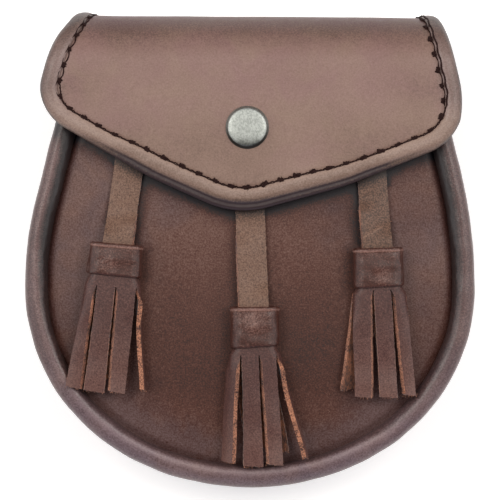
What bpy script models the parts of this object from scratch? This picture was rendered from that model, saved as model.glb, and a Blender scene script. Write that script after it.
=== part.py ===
"""A round-bottomed leather sporran: a moulded pouch with a padded rim, a snap-down flap and three tassels.

The pouch lies on its back. In a front view +X is to the right, +Y runs up towards the fold of the flap
and +Z comes out of the front. The origin is under the middle of the pouch, on the surface it lies on.

Each leather piece is first cut flat and then shaped: domed, carried round the rim, folded over the
top of the pouch or wound into a tassel.
"""

from math import ceil, cos, hypot, pi, radians, sin, sqrt, tan

import bmesh
import bpy
from mathutils import Matrix, Vector

MM = 0.001
GAP = 0.3 * MM  # between neighbouring pieces

# Outline of the pouch, seen from the front: half an ellipse below its widest line, and above it
# two wide arcs that run on as straight sides leaning inwards.
HALF_WIDTH = 90 * MM
BOWL_HEIGHT = 80 * MM
WIDEST_Y = -15 * MM
SIDE_RADIUS = 170 * MM
SIDE_LEAN = radians(14)

# Levels above the surface that the pouch lies on.
RIM_WIDTH = 9.2 * MM
RIM_SIDES = 12
FRONT_RIM_TOP = 41 * MM
FRONT_RIM_HEIGHT = 9.6 * MM
BACK_RIM_HEIGHT = 10 * MM
BACK_PANEL_Z = 7 * MM  # its outer face
FRONT_PANEL_EDGE_Z = 35.8 * MM  # its outer face, where it meets the rim
FRONT_PANEL_RISE = 3.4 * MM

# Upper ends of the pouch's pieces, under the flap.
BACK_PANEL_TOP = 74 * MM
FRONT_PANEL_TOP = 70 * MM
RIM_TOP = 71 * MM
GUSSET_TOP = 72 * MM

PANEL_LEATHER = 2 * MM
GUSSET_LEATHER = 2 * MM
GUSSET_INSET = 3.6 * MM  # from the outline to its outer face, at its edges
GUSSET_SAG = 1.4 * MM  # inwards, halfway between the rims

# The flap in side view: a straight front that rises towards its tip, a round fold, a straight rear.
FLAP_LEATHER = 2.6 * MM
FOLD_RADIUS = 19 * MM  # to the middle of the leather
FOLD_Y = 73.6 * MM
FOLD_Z = BACK_PANEL_Z - GAP - FLAP_LEATHER / 2 + FOLD_RADIUS
FLAP_TILT = radians(2.2)
FLAP_TIP_Y = 15.6 * MM
FOLD_BEGINS = (FOLD_Y + FOLD_RADIUS * sin(FLAP_TILT) - FLAP_TIP_Y) / cos(FLAP_TILT)  # up the flat pattern
FOLD_ENDS = FOLD_BEGINS + FOLD_RADIUS * (pi - FLAP_TILT)
BORDER_WIDTH = 8 * MM
BORDER_HEIGHT = 5.6 * MM

# The flap's flat pattern. x is across, up is the distance from the tip's level along the leather.
# Its two sides differ a little, because it is sewn on slightly askew.
FLAP_CORNERS = (
    # name, x, up, corner radius, all in mm
    ("rear_left", -66, 155, 12),
    ("turn_left", -66.5, 110, 4),
    ("fold_left", -72.5, 77, 40),
    ("side_left", -82.8, 54.5, 30),
    ("lobe_left", -84.6, 37.6, 15),
    ("edge_left", -42.5, 13.6, 90),
    ("tip", -5.4, -2.1, 36),
    ("edge_right", 44, 11.2, 90),
    ("lobe_right", 85.2, 29.2, 14),
    ("side_right", 83.4, 52, 40),
    ("fold_right", 77.6, 73, 40),
    ("turn_right", 71, 110, 4),
    ("rear_right", 68, 155, 12),
)

# The snap: a domed cap riveted through the flap to its socket, and the stud on the front panel.
SNAP_X = -1.1 * MM
SNAP_Y = 48.5 * MM
SNAP_SEGMENTS = 32
CAP_RADIUS = 8.3 * MM
CAP_RIM = 0.7 * MM
CAP_DOME = 1.7 * MM
POST_RADIUS = 2 * MM
POST_HOLE_RADIUS = 2.4 * MM
SOCKET_RADIUS = 6 * MM
SOCKET_HEIGHT = 2.2 * MM
SOCKET_BORE_RADIUS = 3 * MM
SOCKET_BORE_DEPTH = 1.7 * MM
STUD_BASE_RADIUS = 6 * MM
STUD_BASE_HEIGHT = 0.8 * MM
STUD_KNOB_RADIUS = 2.5 * MM
STUD_KNOB_HEIGHT = 2.3 * MM

STRAP_WIDTH = 11.6 * MM
STRAP_LEATHER = 2 * MM
STRAP_TUCK = 14 * MM  # length of strap hidden under the flap
STRAP_RISE = 11 * MM  # length over which a strap rises to the middle of its tassel

# A tassel's head is a strip of leather wound round the end of its strap and cut below into strands.
# Wound up, it is flat at the front and the back and round at its two ends.
HEAD_FLAT = 11.5 * MM
HEAD_END_RADIUS = 2.3 * MM  # to the middle of the leather
FRINGE_LEATHER = 1.8 * MM
FRINGE_FLARE = 2.5 * MM  # how much wider the fringe gets just below the band
STRANDS = 6
SLIT = 0.5 * MM
UNCUT = 4.5 * MM  # whole leather between the band and the slits
FLATTENING = 12 * MM  # length over which a strand loses the curve of the head
BAND_LEATHER = 1.2 * MM
BAND_SEAM = 0.5 * MM
BAND_OVERHANG = 0.8 * MM  # of the band above the fringe's upper edge

TASSELS = (
    # name, band's middle x, y, its height, strap at the flap x, y, strap at the band x, y, fringe length,
    # in mm, and the lean in degrees of the tassel's lower end to the right
    ("left", -53.4, -3.8, 12.8, -48.7, 30.4, -52.6, 2.6, 46.0, -5.0),
    ("middle", 1.9, -30.4, 16.0, 0.0, 16.2, 1.6, -22.0, 47.6, 0.5),
    ("right", 51.0, -6.9, 15.6, 48.8, 26.6, 50.7, 1.9, 44.0, 1.5),
)

# Each tassel's strands: three at its front from left to right, then three at its back from right to
# left. lean is to the right of the tassel's own axis, facing is where the strand's grain side has
# turned to at its end (0 the front, 90 the right, 180 the back), both in degrees. drop is how far the
# end sinks, in mm, and length is a share of the tassel's fringe length.
STRAND_TABLES = {
    # lean, facing, drop, length
    "left": ((-4.5, -14, 1.6, 0.97), (-1.5, 0, 2.0, 1.0), (0.0, 6, 2.0, 1.0),
             (9.0, 100, -1.6, 0.96), (1.0, 180, 1.2, 0.92), (-3.0, 184, 1.0, 0.9)),
    "middle": ((-6.3, -16, 2.4, 0.98), (1.0, 0, 3.0, 1.0), (3.0, 6, 2.6, 1.0),
               (14.0, 104, -1.0, 0.95), (2.0, 180, 2.0, 0.9), (-4.0, 184, 2.0, 0.88)),
    "right": ((-1.0, -4, 2.0, 0.98), (1.8, 0, 2.0, 1.0), (4.6, 10, 1.8, 0.98),
              (2.0, 176, 1.2, 0.92), (0.0, 180, 1.2, 0.9), (-7.0, 250, -1.0, 0.94)),
}

# The two loops on the back, for the strap that the wearer hangs the sporran from.
LOOP_X = 42 * MM
LOOP_WIDTH = 25 * MM
LOOP_LEATHER = 2 * MM
LOOP_LOWER_Y = -16 * MM
LOOP_FOOT = 7 * MM
LOOP_STEP = 4 * MM
LOOP_BRIDGE = 34 * MM
LOOP_BEND = 3 * MM

# Colours as linear red, green and blue.
DARK_BROWN = (0.10, 0.045, 0.037)
FLAP_BROWN = (0.30, 0.20, 0.17)
RIM_BROWN = (0.15, 0.11, 0.11)
TASSEL_BROWN = (0.14, 0.075, 0.06)
NICKEL = (0.42, 0.41, 0.38)


# ---------------------------------------------------------------- outlines


def smooth_step(t):
    """0 below 0, 1 above 1 and an easy curve between."""
    t = min(max(t, 0.0), 1.0)
    return t * t * (3 - 2 * t)


def half_width(y, inset=0.0):
    """Half the pouch's width at height y, on its outline moved inwards by inset."""
    up = y - WIDEST_Y
    if up < 0:
        share = up / (BOWL_HEIGHT - inset)
        return (HALF_WIDTH - inset) * sqrt(max(0.0, 1 - share * share))
    radius = SIDE_RADIUS - inset
    arc_height = radius * sin(SIDE_LEAN)
    if up < arc_height:
        return HALF_WIDTH - SIDE_RADIUS + sqrt(radius * radius - up * up)
    arc_end = HALF_WIDTH - SIDE_RADIUS + radius * cos(SIDE_LEAN)
    return arc_end - (up - arc_height) * tan(SIDE_LEAN)


def pouch_outline(inset, top, arc_steps=4, bowl_steps=13):
    """The outline moved inwards by inset, from its right top round the bottom to its left top."""
    radius = SIDE_RADIUS - inset
    right = [Vector((half_width(top, inset), top, 0))]
    for step in range(arc_steps):
        angle = SIDE_LEAN * (1 - step / arc_steps)
        x = HALF_WIDTH - SIDE_RADIUS + radius * cos(angle)
        right.append(Vector((x, WIDEST_Y + radius * sin(angle), 0)))
    for step in range(bowl_steps):
        angle = pi / 2 * step / bowl_steps
        x = (HALF_WIDTH - inset) * cos(angle)
        right.append(Vector((x, WIDEST_Y - (BOWL_HEIGHT - inset) * sin(angle), 0)))
    bottom = Vector((0, WIDEST_Y - BOWL_HEIGHT + inset, 0))
    left = [Vector((-p.x, p.y, 0)) for p in reversed(right)]
    return right + [bottom] + left


def moved_in(corners, distance):
    """A counter-clockwise outline's corners, each (x, y, radius), with every side moved inwards."""
    moved = []
    for i, (x, y, radius) in enumerate(corners):
        corner = Vector((x, y, 0))
        before = (corner - Vector((*corners[i - 1][:2], 0))).normalized()
        after = (Vector((*corners[(i + 1) % len(corners)][:2], 0)) - corner).normalized()
        inwards = Vector((-before.y - after.y, before.x + after.x, 0))
        corner += inwards * distance / (1 + before.dot(after))
        bulges = before.cross(after).z > 0
        moved.append((corner.x, corner.y, radius - distance if bulges else radius + distance))
    return moved


def rounded(corners, closed, step_angle=radians(12)):
    """The closed outline or open line through corners, each (x, y, radius), as points with round corners."""
    points = []
    for i, (x, y, radius) in enumerate(corners):
        corner = Vector((x, y, 0))
        if not closed and i in (0, len(corners) - 1):
            points.append(corner)
            continue
        before = (Vector((*corners[i - 1][:2], 0)) - corner).normalized()
        after = (Vector((*corners[(i + 1) % len(corners)][:2], 0)) - corner).normalized()
        turn = pi - before.angle(after)
        tangent = radius * tan(turn / 2)
        middle = corner + (before + after).normalized() * hypot(radius, tangent)
        start = corner + before * tangent - middle
        side = 1 if before.cross(after).z < 0 else -1
        count = max(1, ceil(turn / step_angle))
        for k in range(count + 1):
            points.append(middle + Matrix.Rotation(side * turn * k / count, 3, "Z") @ start)
    return points


def ribbon(path, thickness):
    """The closed outline of a strip that follows path and is thickness wide."""
    left, right = [], []
    for i, point in enumerate(path):
        before = point - path[i - 1] if i else path[1] - point
        after = path[i + 1] - point if i + 1 < len(path) else before
        along = (before.normalized() + after.normalized()).normalized()
        across = Vector((-along.y, along.x, 0)) * thickness / 2
        left.append(point + across)
        right.append(point - across)
    return left + right[::-1]


def steps(low, high, size):
    """Evenly spaced places between low and high, about size apart."""
    count = ceil((high - low) / size)
    return [low + (high - low) * i / count for i in range(1, count)]


# ---------------------------------------------------------------- making and shaping pieces


def material(name, colour, roughness, metallic=0.0):
    made = bpy.data.materials.new(name)
    made.use_nodes = True
    shader = made.node_tree.nodes["Principled BSDF"]
    shader.inputs["Base Color"].default_value = (*colour, 1)
    shader.inputs["Roughness"].default_value = roughness
    shader.inputs["Metallic"].default_value = metallic
    return made


def add(name, data, collection, look=None):
    """A new object that holds data, in the collection."""
    made = bpy.data.objects.new(name, data)
    collection.objects.link(made)
    if look:
        data.materials.append(look)
    return made


def flat_curve(name, points, collection, closed=False):
    curve = bpy.data.curves.new(name, "CURVE")
    curve.dimensions = "2D"
    spline = curve.splines.new("POLY")
    spline.points.add(len(points) - 1)
    for target, point in zip(spline.points, points):
        target.co = (point.x, point.y, 0, 1)
    spline.use_cyclic_u = closed
    return add(name, curve, collection)


def as_mesh(curve, look):
    """The curve object made a closed mesh, with one face to each flat side."""
    bpy.context.view_layer.update()
    graph = bpy.context.evaluated_depsgraph_get()
    data = bpy.data.meshes.new_from_object(curve.evaluated_get(graph))
    name, collection = curve.name, curve.users_collection[0]
    bpy.data.objects.remove(curve)
    mesh = bmesh.new()
    mesh.from_mesh(data)
    bmesh.ops.remove_doubles(mesh, verts=mesh.verts, dist=0.001 * MM)
    within_caps = [
        edge
        for edge in mesh.edges
        if len(edge.link_faces) == 2 and all(abs(face.normal.z) > 0.999 for face in edge.link_faces)
    ]
    bmesh.ops.dissolve_edges(mesh, edges=within_caps, use_verts=False)
    bmesh.ops.recalc_face_normals(mesh, faces=mesh.faces)
    mesh.to_mesh(data)
    mesh.free()
    data.materials.clear()
    return add(name, data, collection, look)


def cut_leather(name, outline, thickness, collection, look):
    """A flat piece of leather with this closed outline, its middle at z 0."""
    curve = flat_curve(name, outline, collection, closed=True)
    curve.data.fill_mode = "BOTH"
    curve.data.extrude = thickness / 2
    return as_mesh(curve, look)


def padded_roll(name, path, width, height, collection, look):
    """A padded roll along a flat path, oval in section, its middle at z 0."""
    turns = [2 * pi * i / RIM_SIDES for i in range(RIM_SIDES)]
    section = [Vector((width / 2 * cos(turn), height / 2 * sin(turn), 0)) for turn in turns]
    guide = flat_curve(name + "_section", section, collection, closed=True)
    curve = flat_curve(name, path, collection)
    curve.data.bevel_mode = "OBJECT"
    curve.data.bevel_object = guide
    curve.data.use_fill_caps = True
    roll = as_mesh(curve, look)
    bpy.data.objects.remove(guide)
    return roll


def divide(piece, axis, places):
    """Divides the piece's faces at these places along an axis, so that it can bend there."""
    mesh = bmesh.new()
    mesh.from_mesh(piece.data)
    normal = Vector((axis == 0, axis == 1, axis == 2))
    for place in places:
        everything = mesh.verts[:] + mesh.edges[:] + mesh.faces[:]
        bmesh.ops.bisect_plane(
            mesh, geom=everything, plane_co=normal * place, plane_no=normal, dist=0.001 * MM
        )
    mesh.to_mesh(piece.data)
    mesh.free()


def shape(piece, place):
    """Moves each point of the piece to place(point) and shades it smooth."""
    for vertex in piece.data.vertices:
        vertex.co = place(vertex.co)
    piece.data.update()
    piece.data.shade_smooth()
    piece.data.set_sharp_from_angle(angle=radians(40))


def turned(name, profile, collection, look):
    """A solid turned about Z from (radius, z) points that run down its outer side."""
    data = bpy.data.meshes.new(name)
    ends = [(i, i + 1) for i in range(len(profile) - 1)]
    data.from_pydata([(radius, 0, z) for radius, z in profile], ends, [])
    piece = add(name, data, collection, look)
    screw = piece.modifiers.new("turn", "SCREW")
    screw.steps = SNAP_SEGMENTS
    screw.render_steps = SNAP_SEGMENTS
    screw.use_merge_vertices = True
    screw.merge_threshold = 0.01 * MM
    return piece


# ---------------------------------------------------------------- the pouch


def front_panel_z(x, y):
    """Height of the front panel's outer face: highest in its middle, lower towards the rim and the top."""
    up = y - WIDEST_Y
    if up < 0:
        towards_rim = hypot(x / (HALF_WIDTH - RIM_WIDTH), up / (BOWL_HEIGHT - RIM_WIDTH))
        towards_top = 0.0
    else:
        towards_rim = abs(x) / half_width(y, RIM_WIDTH)
        towards_top = up / (1.35 * (FRONT_PANEL_TOP - WIDEST_Y))
    falls_off = 1 - min(towards_rim, 1.0) ** 2.4
    return FRONT_PANEL_EDGE_Z + FRONT_PANEL_RISE * falls_off * (1 - towards_top**2)


def make_panels(collection, look):
    outline = pouch_outline(RIM_WIDTH + GAP, FRONT_PANEL_TOP)
    front = cut_leather("front_panel", outline, PANEL_LEATHER, collection, look)
    divide(front, 0, steps(-HALF_WIDTH, HALF_WIDTH, 13 * MM))
    divide(front, 1, steps(WIDEST_Y - BOWL_HEIGHT, FRONT_PANEL_TOP, 13 * MM))
    shape(front, lambda p: Vector((p.x, p.y, front_panel_z(p.x, p.y) - PANEL_LEATHER / 2 + p.z)))

    outline = pouch_outline(RIM_WIDTH + GAP, BACK_PANEL_TOP)
    back = cut_leather("back_panel", outline, PANEL_LEATHER, collection, look)
    shape(back, lambda p: p + Vector((0, 0, BACK_PANEL_Z + PANEL_LEATHER / 2)))


def make_rims(collection, look):
    """The two padded rolls: one frames the front panel and the other the back panel."""
    path = pouch_outline(RIM_WIDTH / 2, RIM_TOP)
    front = padded_roll("front_rim", path, RIM_WIDTH, FRONT_RIM_HEIGHT, collection, look)
    shape(front, lambda p: p + Vector((0, 0, FRONT_RIM_TOP - FRONT_RIM_HEIGHT / 2)))
    back = padded_roll("back_rim", path, RIM_WIDTH, BACK_RIM_HEIGHT, collection, look)
    shape(back, lambda p: p + Vector((0, 0, BACK_RIM_HEIGHT / 2)))


def make_gusset(collection, look):
    """The side wall: a long strip carried round between the two rims, which sags inwards a little."""
    low = BACK_RIM_HEIGHT + GAP
    high = FRONT_RIM_TOP - FRONT_RIM_HEIGHT - GAP
    path = pouch_outline(GUSSET_INSET + GUSSET_LEATHER / 2, GUSSET_TOP)
    wall = cut_leather("gusset", ribbon(path, GUSSET_LEATHER), high - low, collection, look)
    divide(wall, 2, steps((low - high) / 2, (high - low) / 2, 5.5 * MM))

    def sagged(p):
        share = 2 * p.z / (high - low)
        inwards = (Vector((0, WIDEST_Y, 0)) - Vector((p.x, p.y, 0))).normalized()
        return p + inwards * GUSSET_SAG * (1 - share * share) + Vector((0, 0, (low + high) / 2))

    shape(wall, sagged)


# ---------------------------------------------------------------- the flap and its snap


def fold_over(p):
    """Where the flap's fold takes a point of its flat pattern. p.z is its height above mid leather."""
    wrapped = min(max(p.y, FOLD_BEGINS), FOLD_ENDS)
    angle = pi / 2 - FLAP_TILT - (wrapped - FOLD_BEGINS) / FOLD_RADIUS
    reach = FOLD_RADIUS + p.z
    past = wrapped - p.y  # along the straight front, or below 0 along the straight rear
    y = FOLD_Y + reach * cos(angle) - past * sin(angle)
    return Vector((p.x, y, FOLD_Z + reach * sin(angle) + past * cos(angle)))


def snap_seat():
    """The frame at the snap's centre on the middle of the flap's leather, with z straight out of it."""
    up = FOLD_BEGINS - (FOLD_Y + FOLD_RADIUS * sin(FLAP_TILT) - SNAP_Y) / cos(FLAP_TILT)
    return Matrix.Translation(fold_over(Vector((SNAP_X, up, 0)))) @ Matrix.Rotation(-FLAP_TILT, 4, "X")


def make_flap(collection, cutters, panel_look, border_look):
    corners = [(x * MM, up * MM, radius * MM) for _, x, up, radius in FLAP_CORNERS]
    bends = [FOLD_BEGINS] + steps(FOLD_BEGINS, FOLD_ENDS, 4.2 * MM) + [FOLD_ENDS]

    outline = rounded(moved_in(corners, BORDER_WIDTH + GAP), closed=True)
    panel = cut_leather("flap_panel", outline, FLAP_LEATHER, collection, panel_look)
    divide(panel, 1, bends)
    shape(panel, fold_over)
    bpy.ops.mesh.primitive_cylinder_add(vertices=24, radius=POST_HOLE_RADIUS, depth=10 * MM)
    cutter = bpy.context.object
    cutter.name = "flap_post_hole"
    cutter.matrix_world = snap_seat()
    cutter.hide_render = True
    cutter.display_type = "WIRE"
    for holder in cutter.users_collection:
        holder.objects.unlink(cutter)
    cutters.objects.link(cutter)
    hole = panel.modifiers.new("post_hole", "BOOLEAN")
    hole.operation = "DIFFERENCE"
    hole.object = cutter

    path = rounded(moved_in(corners, BORDER_WIDTH / 2)[1:-1], closed=False)
    border = padded_roll("flap_border", path, BORDER_WIDTH, BORDER_HEIGHT, collection, border_look)
    divide(border, 1, bends)
    shape(border, fold_over)


def make_snap(collection, look):
    """The cap, its post and its socket are riveted into one piece. The stud stands on the front panel."""
    top = FLAP_LEATHER / 2 + GAP
    dome_steps = 5
    profile = []
    for step in range(dome_steps + 1):
        share = step / dome_steps
        profile.append((CAP_RADIUS * share, top + CAP_RIM + CAP_DOME * (1 - share**2.6)))
    socket = -FLAP_LEATHER / 2 - GAP
    profile += [
        (CAP_RADIUS, top),
        (POST_RADIUS, top),
        (POST_RADIUS, socket),
        (SOCKET_RADIUS, socket),
        (SOCKET_RADIUS, socket - SOCKET_HEIGHT),
        (SOCKET_BORE_RADIUS, socket - SOCKET_HEIGHT),
        (SOCKET_BORE_RADIUS, socket - SOCKET_HEIGHT + SOCKET_BORE_DEPTH),
        (0, socket - SOCKET_HEIGHT + SOCKET_BORE_DEPTH),
    ]
    turned("snap_cap", profile, collection, look).matrix_world = snap_seat()

    knob_top = STUD_BASE_HEIGHT + STUD_KNOB_HEIGHT
    stud_profile = [
        (0, knob_top),
        (STUD_KNOB_RADIUS - 0.5 * MM, knob_top),
        (STUD_KNOB_RADIUS, knob_top - 0.5 * MM),
        (STUD_KNOB_RADIUS, knob_top - 1.1 * MM),
        (STUD_KNOB_RADIUS - 0.6 * MM, STUD_BASE_HEIGHT),
        (STUD_BASE_RADIUS, STUD_BASE_HEIGHT),
        (STUD_BASE_RADIUS, 0),
        (0, 0),
    ]
    stud = turned("snap_stud", stud_profile, collection, look)
    foot = Vector((SNAP_X, SNAP_Y, front_panel_z(SNAP_X, SNAP_Y) + GAP))
    stud.matrix_world = Matrix.Translation(foot) @ Matrix.Rotation(-FLAP_TILT, 4, "X")


# ---------------------------------------------------------------- the tassels


def around_head(share, flat):
    """x, z and facing at a share of the way round the head: 0 its left end, 0.25 its front, 0.5 its right."""
    quarter = pi / 2 * HEAD_END_RADIUS
    along = share * (2 * flat + 4 * quarter)
    half = flat + 2 * quarter
    side, along = (1, along) if along < half else (-1, along - half)
    if along < quarter:
        facing, x = -pi / 2 + along / HEAD_END_RADIUS, -flat / 2
    elif along < quarter + flat:
        facing, x = 0.0, -flat / 2 + along - quarter
    else:
        facing, x = (along - quarter - flat) / HEAD_END_RADIUS, flat / 2
    x = side * (x + HEAD_END_RADIUS * sin(facing))
    z = side * HEAD_END_RADIUS * cos(facing)
    return x, z, facing if side > 0 else facing + pi


def head_middle_z(x, y):
    """Height of the middle of a tassel's head that rests on the front panel."""
    return front_panel_z(x, y) + 2 * GAP + HEAD_END_RADIUS + FRINGE_LEATHER / 2 + GAP + BAND_LEATHER


def make_strap(name, exit_at, band_at, head_z, collection, look):
    """A flat strap that runs down the front panel and rises into its tassel's head."""
    down = (band_at - exit_at).normalized()
    across = Vector((-down.y, down.x, 0))
    low = -STRAP_TUCK
    high = (band_at - exit_at).length + 0.55 * STRAP_RISE
    half = STRAP_WIDTH / 2
    corners = ((low, -half), (high, -half), (high, half), (low, half))
    outline = [Vector((x, y, 0)) for x, y in corners]
    strap = cut_leather(name, outline, STRAP_LEATHER, collection, look)
    divide(strap, 0, steps(low, high, 5 * MM))
    rise_ends = (band_at - exit_at).length - 0.5 * MM

    def laid(p):
        place = exit_at + down * p.x + across * p.y
        on_panel = front_panel_z(place.x, place.y) + GAP + STRAP_LEATHER / 2
        share = smooth_step((p.x - rise_ends + STRAP_RISE) / STRAP_RISE)
        return Vector((place.x, place.y, on_panel + (head_z - on_panel) * share + p.z))

    shape(strap, laid)


def make_fringe(name, frame, band_height, length, strands, collection, look):
    """The wound strip. Its flat pattern is a comb: x runs round the head, y is in the tassel's frame."""
    strip = 2 * HEAD_FLAT + 2 * pi * HEAD_END_RADIUS
    pitch = strip / STRANDS
    slits_at = -band_height / 2 - UNCUT
    outline = []
    columns = []
    for k, (_, _, _, share) in enumerate(strands):
        left, right = k * pitch + SLIT / 2, (k + 1) * pitch - SLIT / 2
        tip = -band_height / 2 - length * share
        outline += [Vector((left, slits_at, 0)), Vector((left, tip, 0)), Vector((right, tip, 0))]
        outline.append(Vector((right, slits_at, 0)))
        columns += [left] * (k > 0) + steps(left, right, pitch / 3) + [right] * (k < STRANDS - 1)
    top = band_height / 2 - BAND_OVERHANG
    outline[0] = Vector((SLIT / 2, top, 0))
    outline[-1] = Vector((strip - SLIT / 2, top, 0))
    fringe = cut_leather(name, outline, FRINGE_LEATHER, collection, look)
    divide(fringe, 0, columns)
    rows = steps(slits_at - length, slits_at, 6 * MM)
    divide(fringe, 1, rows + [slits_at, slits_at + UNCUT / 2, slits_at + UNCUT])

    def hung(p):
        flare = smooth_step((slits_at + UNCUT - p.y) / UNCUT)
        flat = HEAD_FLAT + FRINGE_FLARE * flare
        x, z, facing = around_head(p.x / strip, flat)
        wound = Vector((x + p.z * sin(facing), p.y, z + p.z * cos(facing)))
        below = slits_at - p.y
        if below <= 0:
            return frame @ wound
        k = min(int(p.x / pitch), STRANDS - 1)
        lean, end_facing, drop, _ = strands[k]
        x, z, facing = around_head((k + 0.5) / STRANDS, flat)
        facing += (radians(end_facing) - facing) * smooth_step(below / length)
        aside = (p.x - (k + 0.5) * pitch) * (flat / HEAD_FLAT)
        x += aside * cos(facing) + p.z * sin(facing)
        z += p.z * cos(facing) - aside * sin(facing)
        hanging = wound.lerp(Vector((x, p.y, z)), smooth_step(below / FLATTENING))
        sinks = drop * MM * (below / length) ** 1.5
        return frame @ (hanging + Vector((below * tan(radians(lean)), 0, -sinks)))

    shape(fringe, hung)


def make_band(name, frame, band_height, collection, look):
    """The band: a strip wrapped round the fringe's head, with its seam at the right end."""
    steps_round = 40
    beyond = FRINGE_LEATHER / 2 + GAP + BAND_LEATHER / 2
    seam = BAND_SEAM / (2 * HEAD_FLAT + 2 * pi * (HEAD_END_RADIUS + beyond)) / 2
    path = []
    for step in range(steps_round + 1):
        share = 0.5 + seam + (1 - 2 * seam) * step / steps_round
        x, z, facing = around_head(share % 1.0, HEAD_FLAT)
        path.append(Vector((x + beyond * sin(facing), z + beyond * cos(facing), 0)))
    band = cut_leather(name, ribbon(path, BAND_LEATHER), band_height, collection, look)
    shape(band, lambda p: frame @ Vector((p.x, p.z, -p.y)))


def make_tassels(collection, strap_look, tassel_look):
    for name, x, y, band_height, exit_x, exit_y, band_x, band_y, length, lean in TASSELS:
        head_z = head_middle_z(x * MM, y * MM)
        frame = Matrix.Translation((x * MM, y * MM, head_z)) @ Matrix.Rotation(radians(lean), 4, "Z")
        exit_at = Vector((exit_x * MM, exit_y * MM, 0))
        band_at = Vector((band_x * MM, band_y * MM, 0))
        make_strap("tassel_strap_" + name, exit_at, band_at, head_z, collection, strap_look)
        strands = STRAND_TABLES[name]
        band_height, length = band_height * MM, length * MM
        make_fringe("tassel_fringe_" + name, frame, band_height, length, strands, collection, tassel_look)
        make_band("tassel_band_" + name, frame, band_height, collection, tassel_look)


# ---------------------------------------------------------------- the loops on the back


def make_loops(collection, look):
    """Two bent strips, their feet on the back panel and their bridges level with the back rim."""
    foot_z = BACK_PANEL_Z - GAP - LOOP_LEATHER / 2
    bridge_z = LOOP_LEATHER / 2
    side_view = (
        (0, foot_z),
        (LOOP_FOOT, foot_z),
        (LOOP_FOOT + LOOP_STEP, bridge_z),
        (LOOP_FOOT + LOOP_STEP + LOOP_BRIDGE, bridge_z),
        (LOOP_FOOT + 2 * LOOP_STEP + LOOP_BRIDGE, foot_z),
        (2 * LOOP_FOOT + 2 * LOOP_STEP + LOOP_BRIDGE, foot_z),
    )
    path = rounded([(y, z, LOOP_BEND) for y, z in side_view], closed=False)
    for name, x in (("left", -LOOP_X), ("right", LOOP_X)):
        outline = ribbon(path, LOOP_LEATHER)
        loop = cut_leather("strap_loop_" + name, outline, LOOP_WIDTH, collection, look)
        shape(loop, lambda p: Vector((x + p.z, LOOP_LOWER_Y + p.x, p.y)))


# ---------------------------------------------------------------- the whole sporran


def main():
    for old in list(bpy.data.objects):
        bpy.data.objects.remove(old)
    sporran = bpy.data.collections.new("sporran_pouch")
    cutters = bpy.data.collections.new("cutters")
    bpy.context.scene.collection.children.link(sporran)
    bpy.context.scene.collection.children.link(cutters)

    panel_look = material("pouch_leather", DARK_BROWN, 0.5)
    rim_look = material("rim_leather", RIM_BROWN, 0.42)
    flap_look = material("flap_leather", FLAP_BROWN, 0.45)
    border_look = material("border_leather", FLAP_BROWN, 0.42)
    strap_look = material("strap_leather", TASSEL_BROWN, 0.5)
    tassel_look = material("tassel_leather", TASSEL_BROWN, 0.55)
    metal_look = material("aged_nickel", NICKEL, 0.35, 1.0)

    make_panels(sporran, panel_look)
    make_rims(sporran, rim_look)
    make_gusset(sporran, panel_look)
    make_flap(sporran, cutters, flap_look, border_look)
    make_snap(sporran, metal_look)
    make_tassels(sporran, strap_look, tassel_look)
    make_loops(sporran, panel_look)


main()
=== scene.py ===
"""The looks of a leather sporran: a moulded pouch, its padded rims, its snapped flap and three tassels."""

from math import atan2, ceil, cos, floor, hypot, pi, radians, sin, sqrt, tan
import random

import bpy
from mathutils import Matrix, Vector, noise


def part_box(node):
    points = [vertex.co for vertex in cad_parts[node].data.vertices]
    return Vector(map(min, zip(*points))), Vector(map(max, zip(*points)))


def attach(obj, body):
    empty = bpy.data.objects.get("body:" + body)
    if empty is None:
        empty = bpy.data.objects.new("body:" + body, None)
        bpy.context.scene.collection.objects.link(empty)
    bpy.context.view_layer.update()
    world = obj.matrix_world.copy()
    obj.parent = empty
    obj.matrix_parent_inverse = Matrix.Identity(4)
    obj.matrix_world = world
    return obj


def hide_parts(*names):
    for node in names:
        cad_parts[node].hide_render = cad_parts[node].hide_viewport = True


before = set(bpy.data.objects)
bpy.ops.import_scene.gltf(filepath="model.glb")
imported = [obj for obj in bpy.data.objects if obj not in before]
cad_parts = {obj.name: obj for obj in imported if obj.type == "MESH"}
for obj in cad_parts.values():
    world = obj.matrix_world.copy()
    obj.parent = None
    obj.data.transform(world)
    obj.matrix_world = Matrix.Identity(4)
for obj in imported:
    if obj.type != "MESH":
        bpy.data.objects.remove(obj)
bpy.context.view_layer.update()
bpy.ops.object.select_all(action="DESELECT")


# ================================================================ front panel
# The front of the pouch is one piece of 2 mm vegetable-tanned cowhide. It was moulded wet over a
# form, so it domes a little, and it dips into a crease where it is sewn in under the padded rim.

MM = 0.001
HALF_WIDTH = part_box("front_rim")[1].x
WIDEST_Y = -15 * MM
BOWL_HEIGHT = WIDEST_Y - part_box("front_rim")[0].y
SIDE_RADIUS = 170 * MM
SIDE_LEAN = radians(14)
RIM_WIDTH = 9.2 * MM
PANEL_LEATHER = 2 * MM
PANEL_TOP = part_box("front_panel")[1].y
PANEL_EDGE_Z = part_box("front_panel")[0].z + PANEL_LEATHER
PANEL_RISE = 3.4 * MM
PANEL_TUCK = 1.7 * MM  # width of the panel's edge that is hidden under the rim
CREASE_WIDTH = 4.5 * MM
CREASE_DEPTH = 1.6 * MM
DOME_POWER = 2.4  # the higher, the flatter the panel's middle and the steeper its edges
DOME_OVER = 1.35  # how far past the panel's top its dome would come down to the edge's height
SEWN_ASKEW = 0.8 * MM
SPOKES = 200
FINEST_RING = 0.45 * MM  # the blank's rings of faces, from its edge to its middle
WIDEST_RING = 3.4 * MM
RINGS_WIDEN = 1.15
MIDDLE = Vector((0, -8 * MM, 0))


def smooth_step(t):
    """0 below 0, 1 above 1 and an easy curve between."""
    t = min(max(t, 0.0), 1.0)
    return t * t * (3 - 2 * t)


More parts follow.
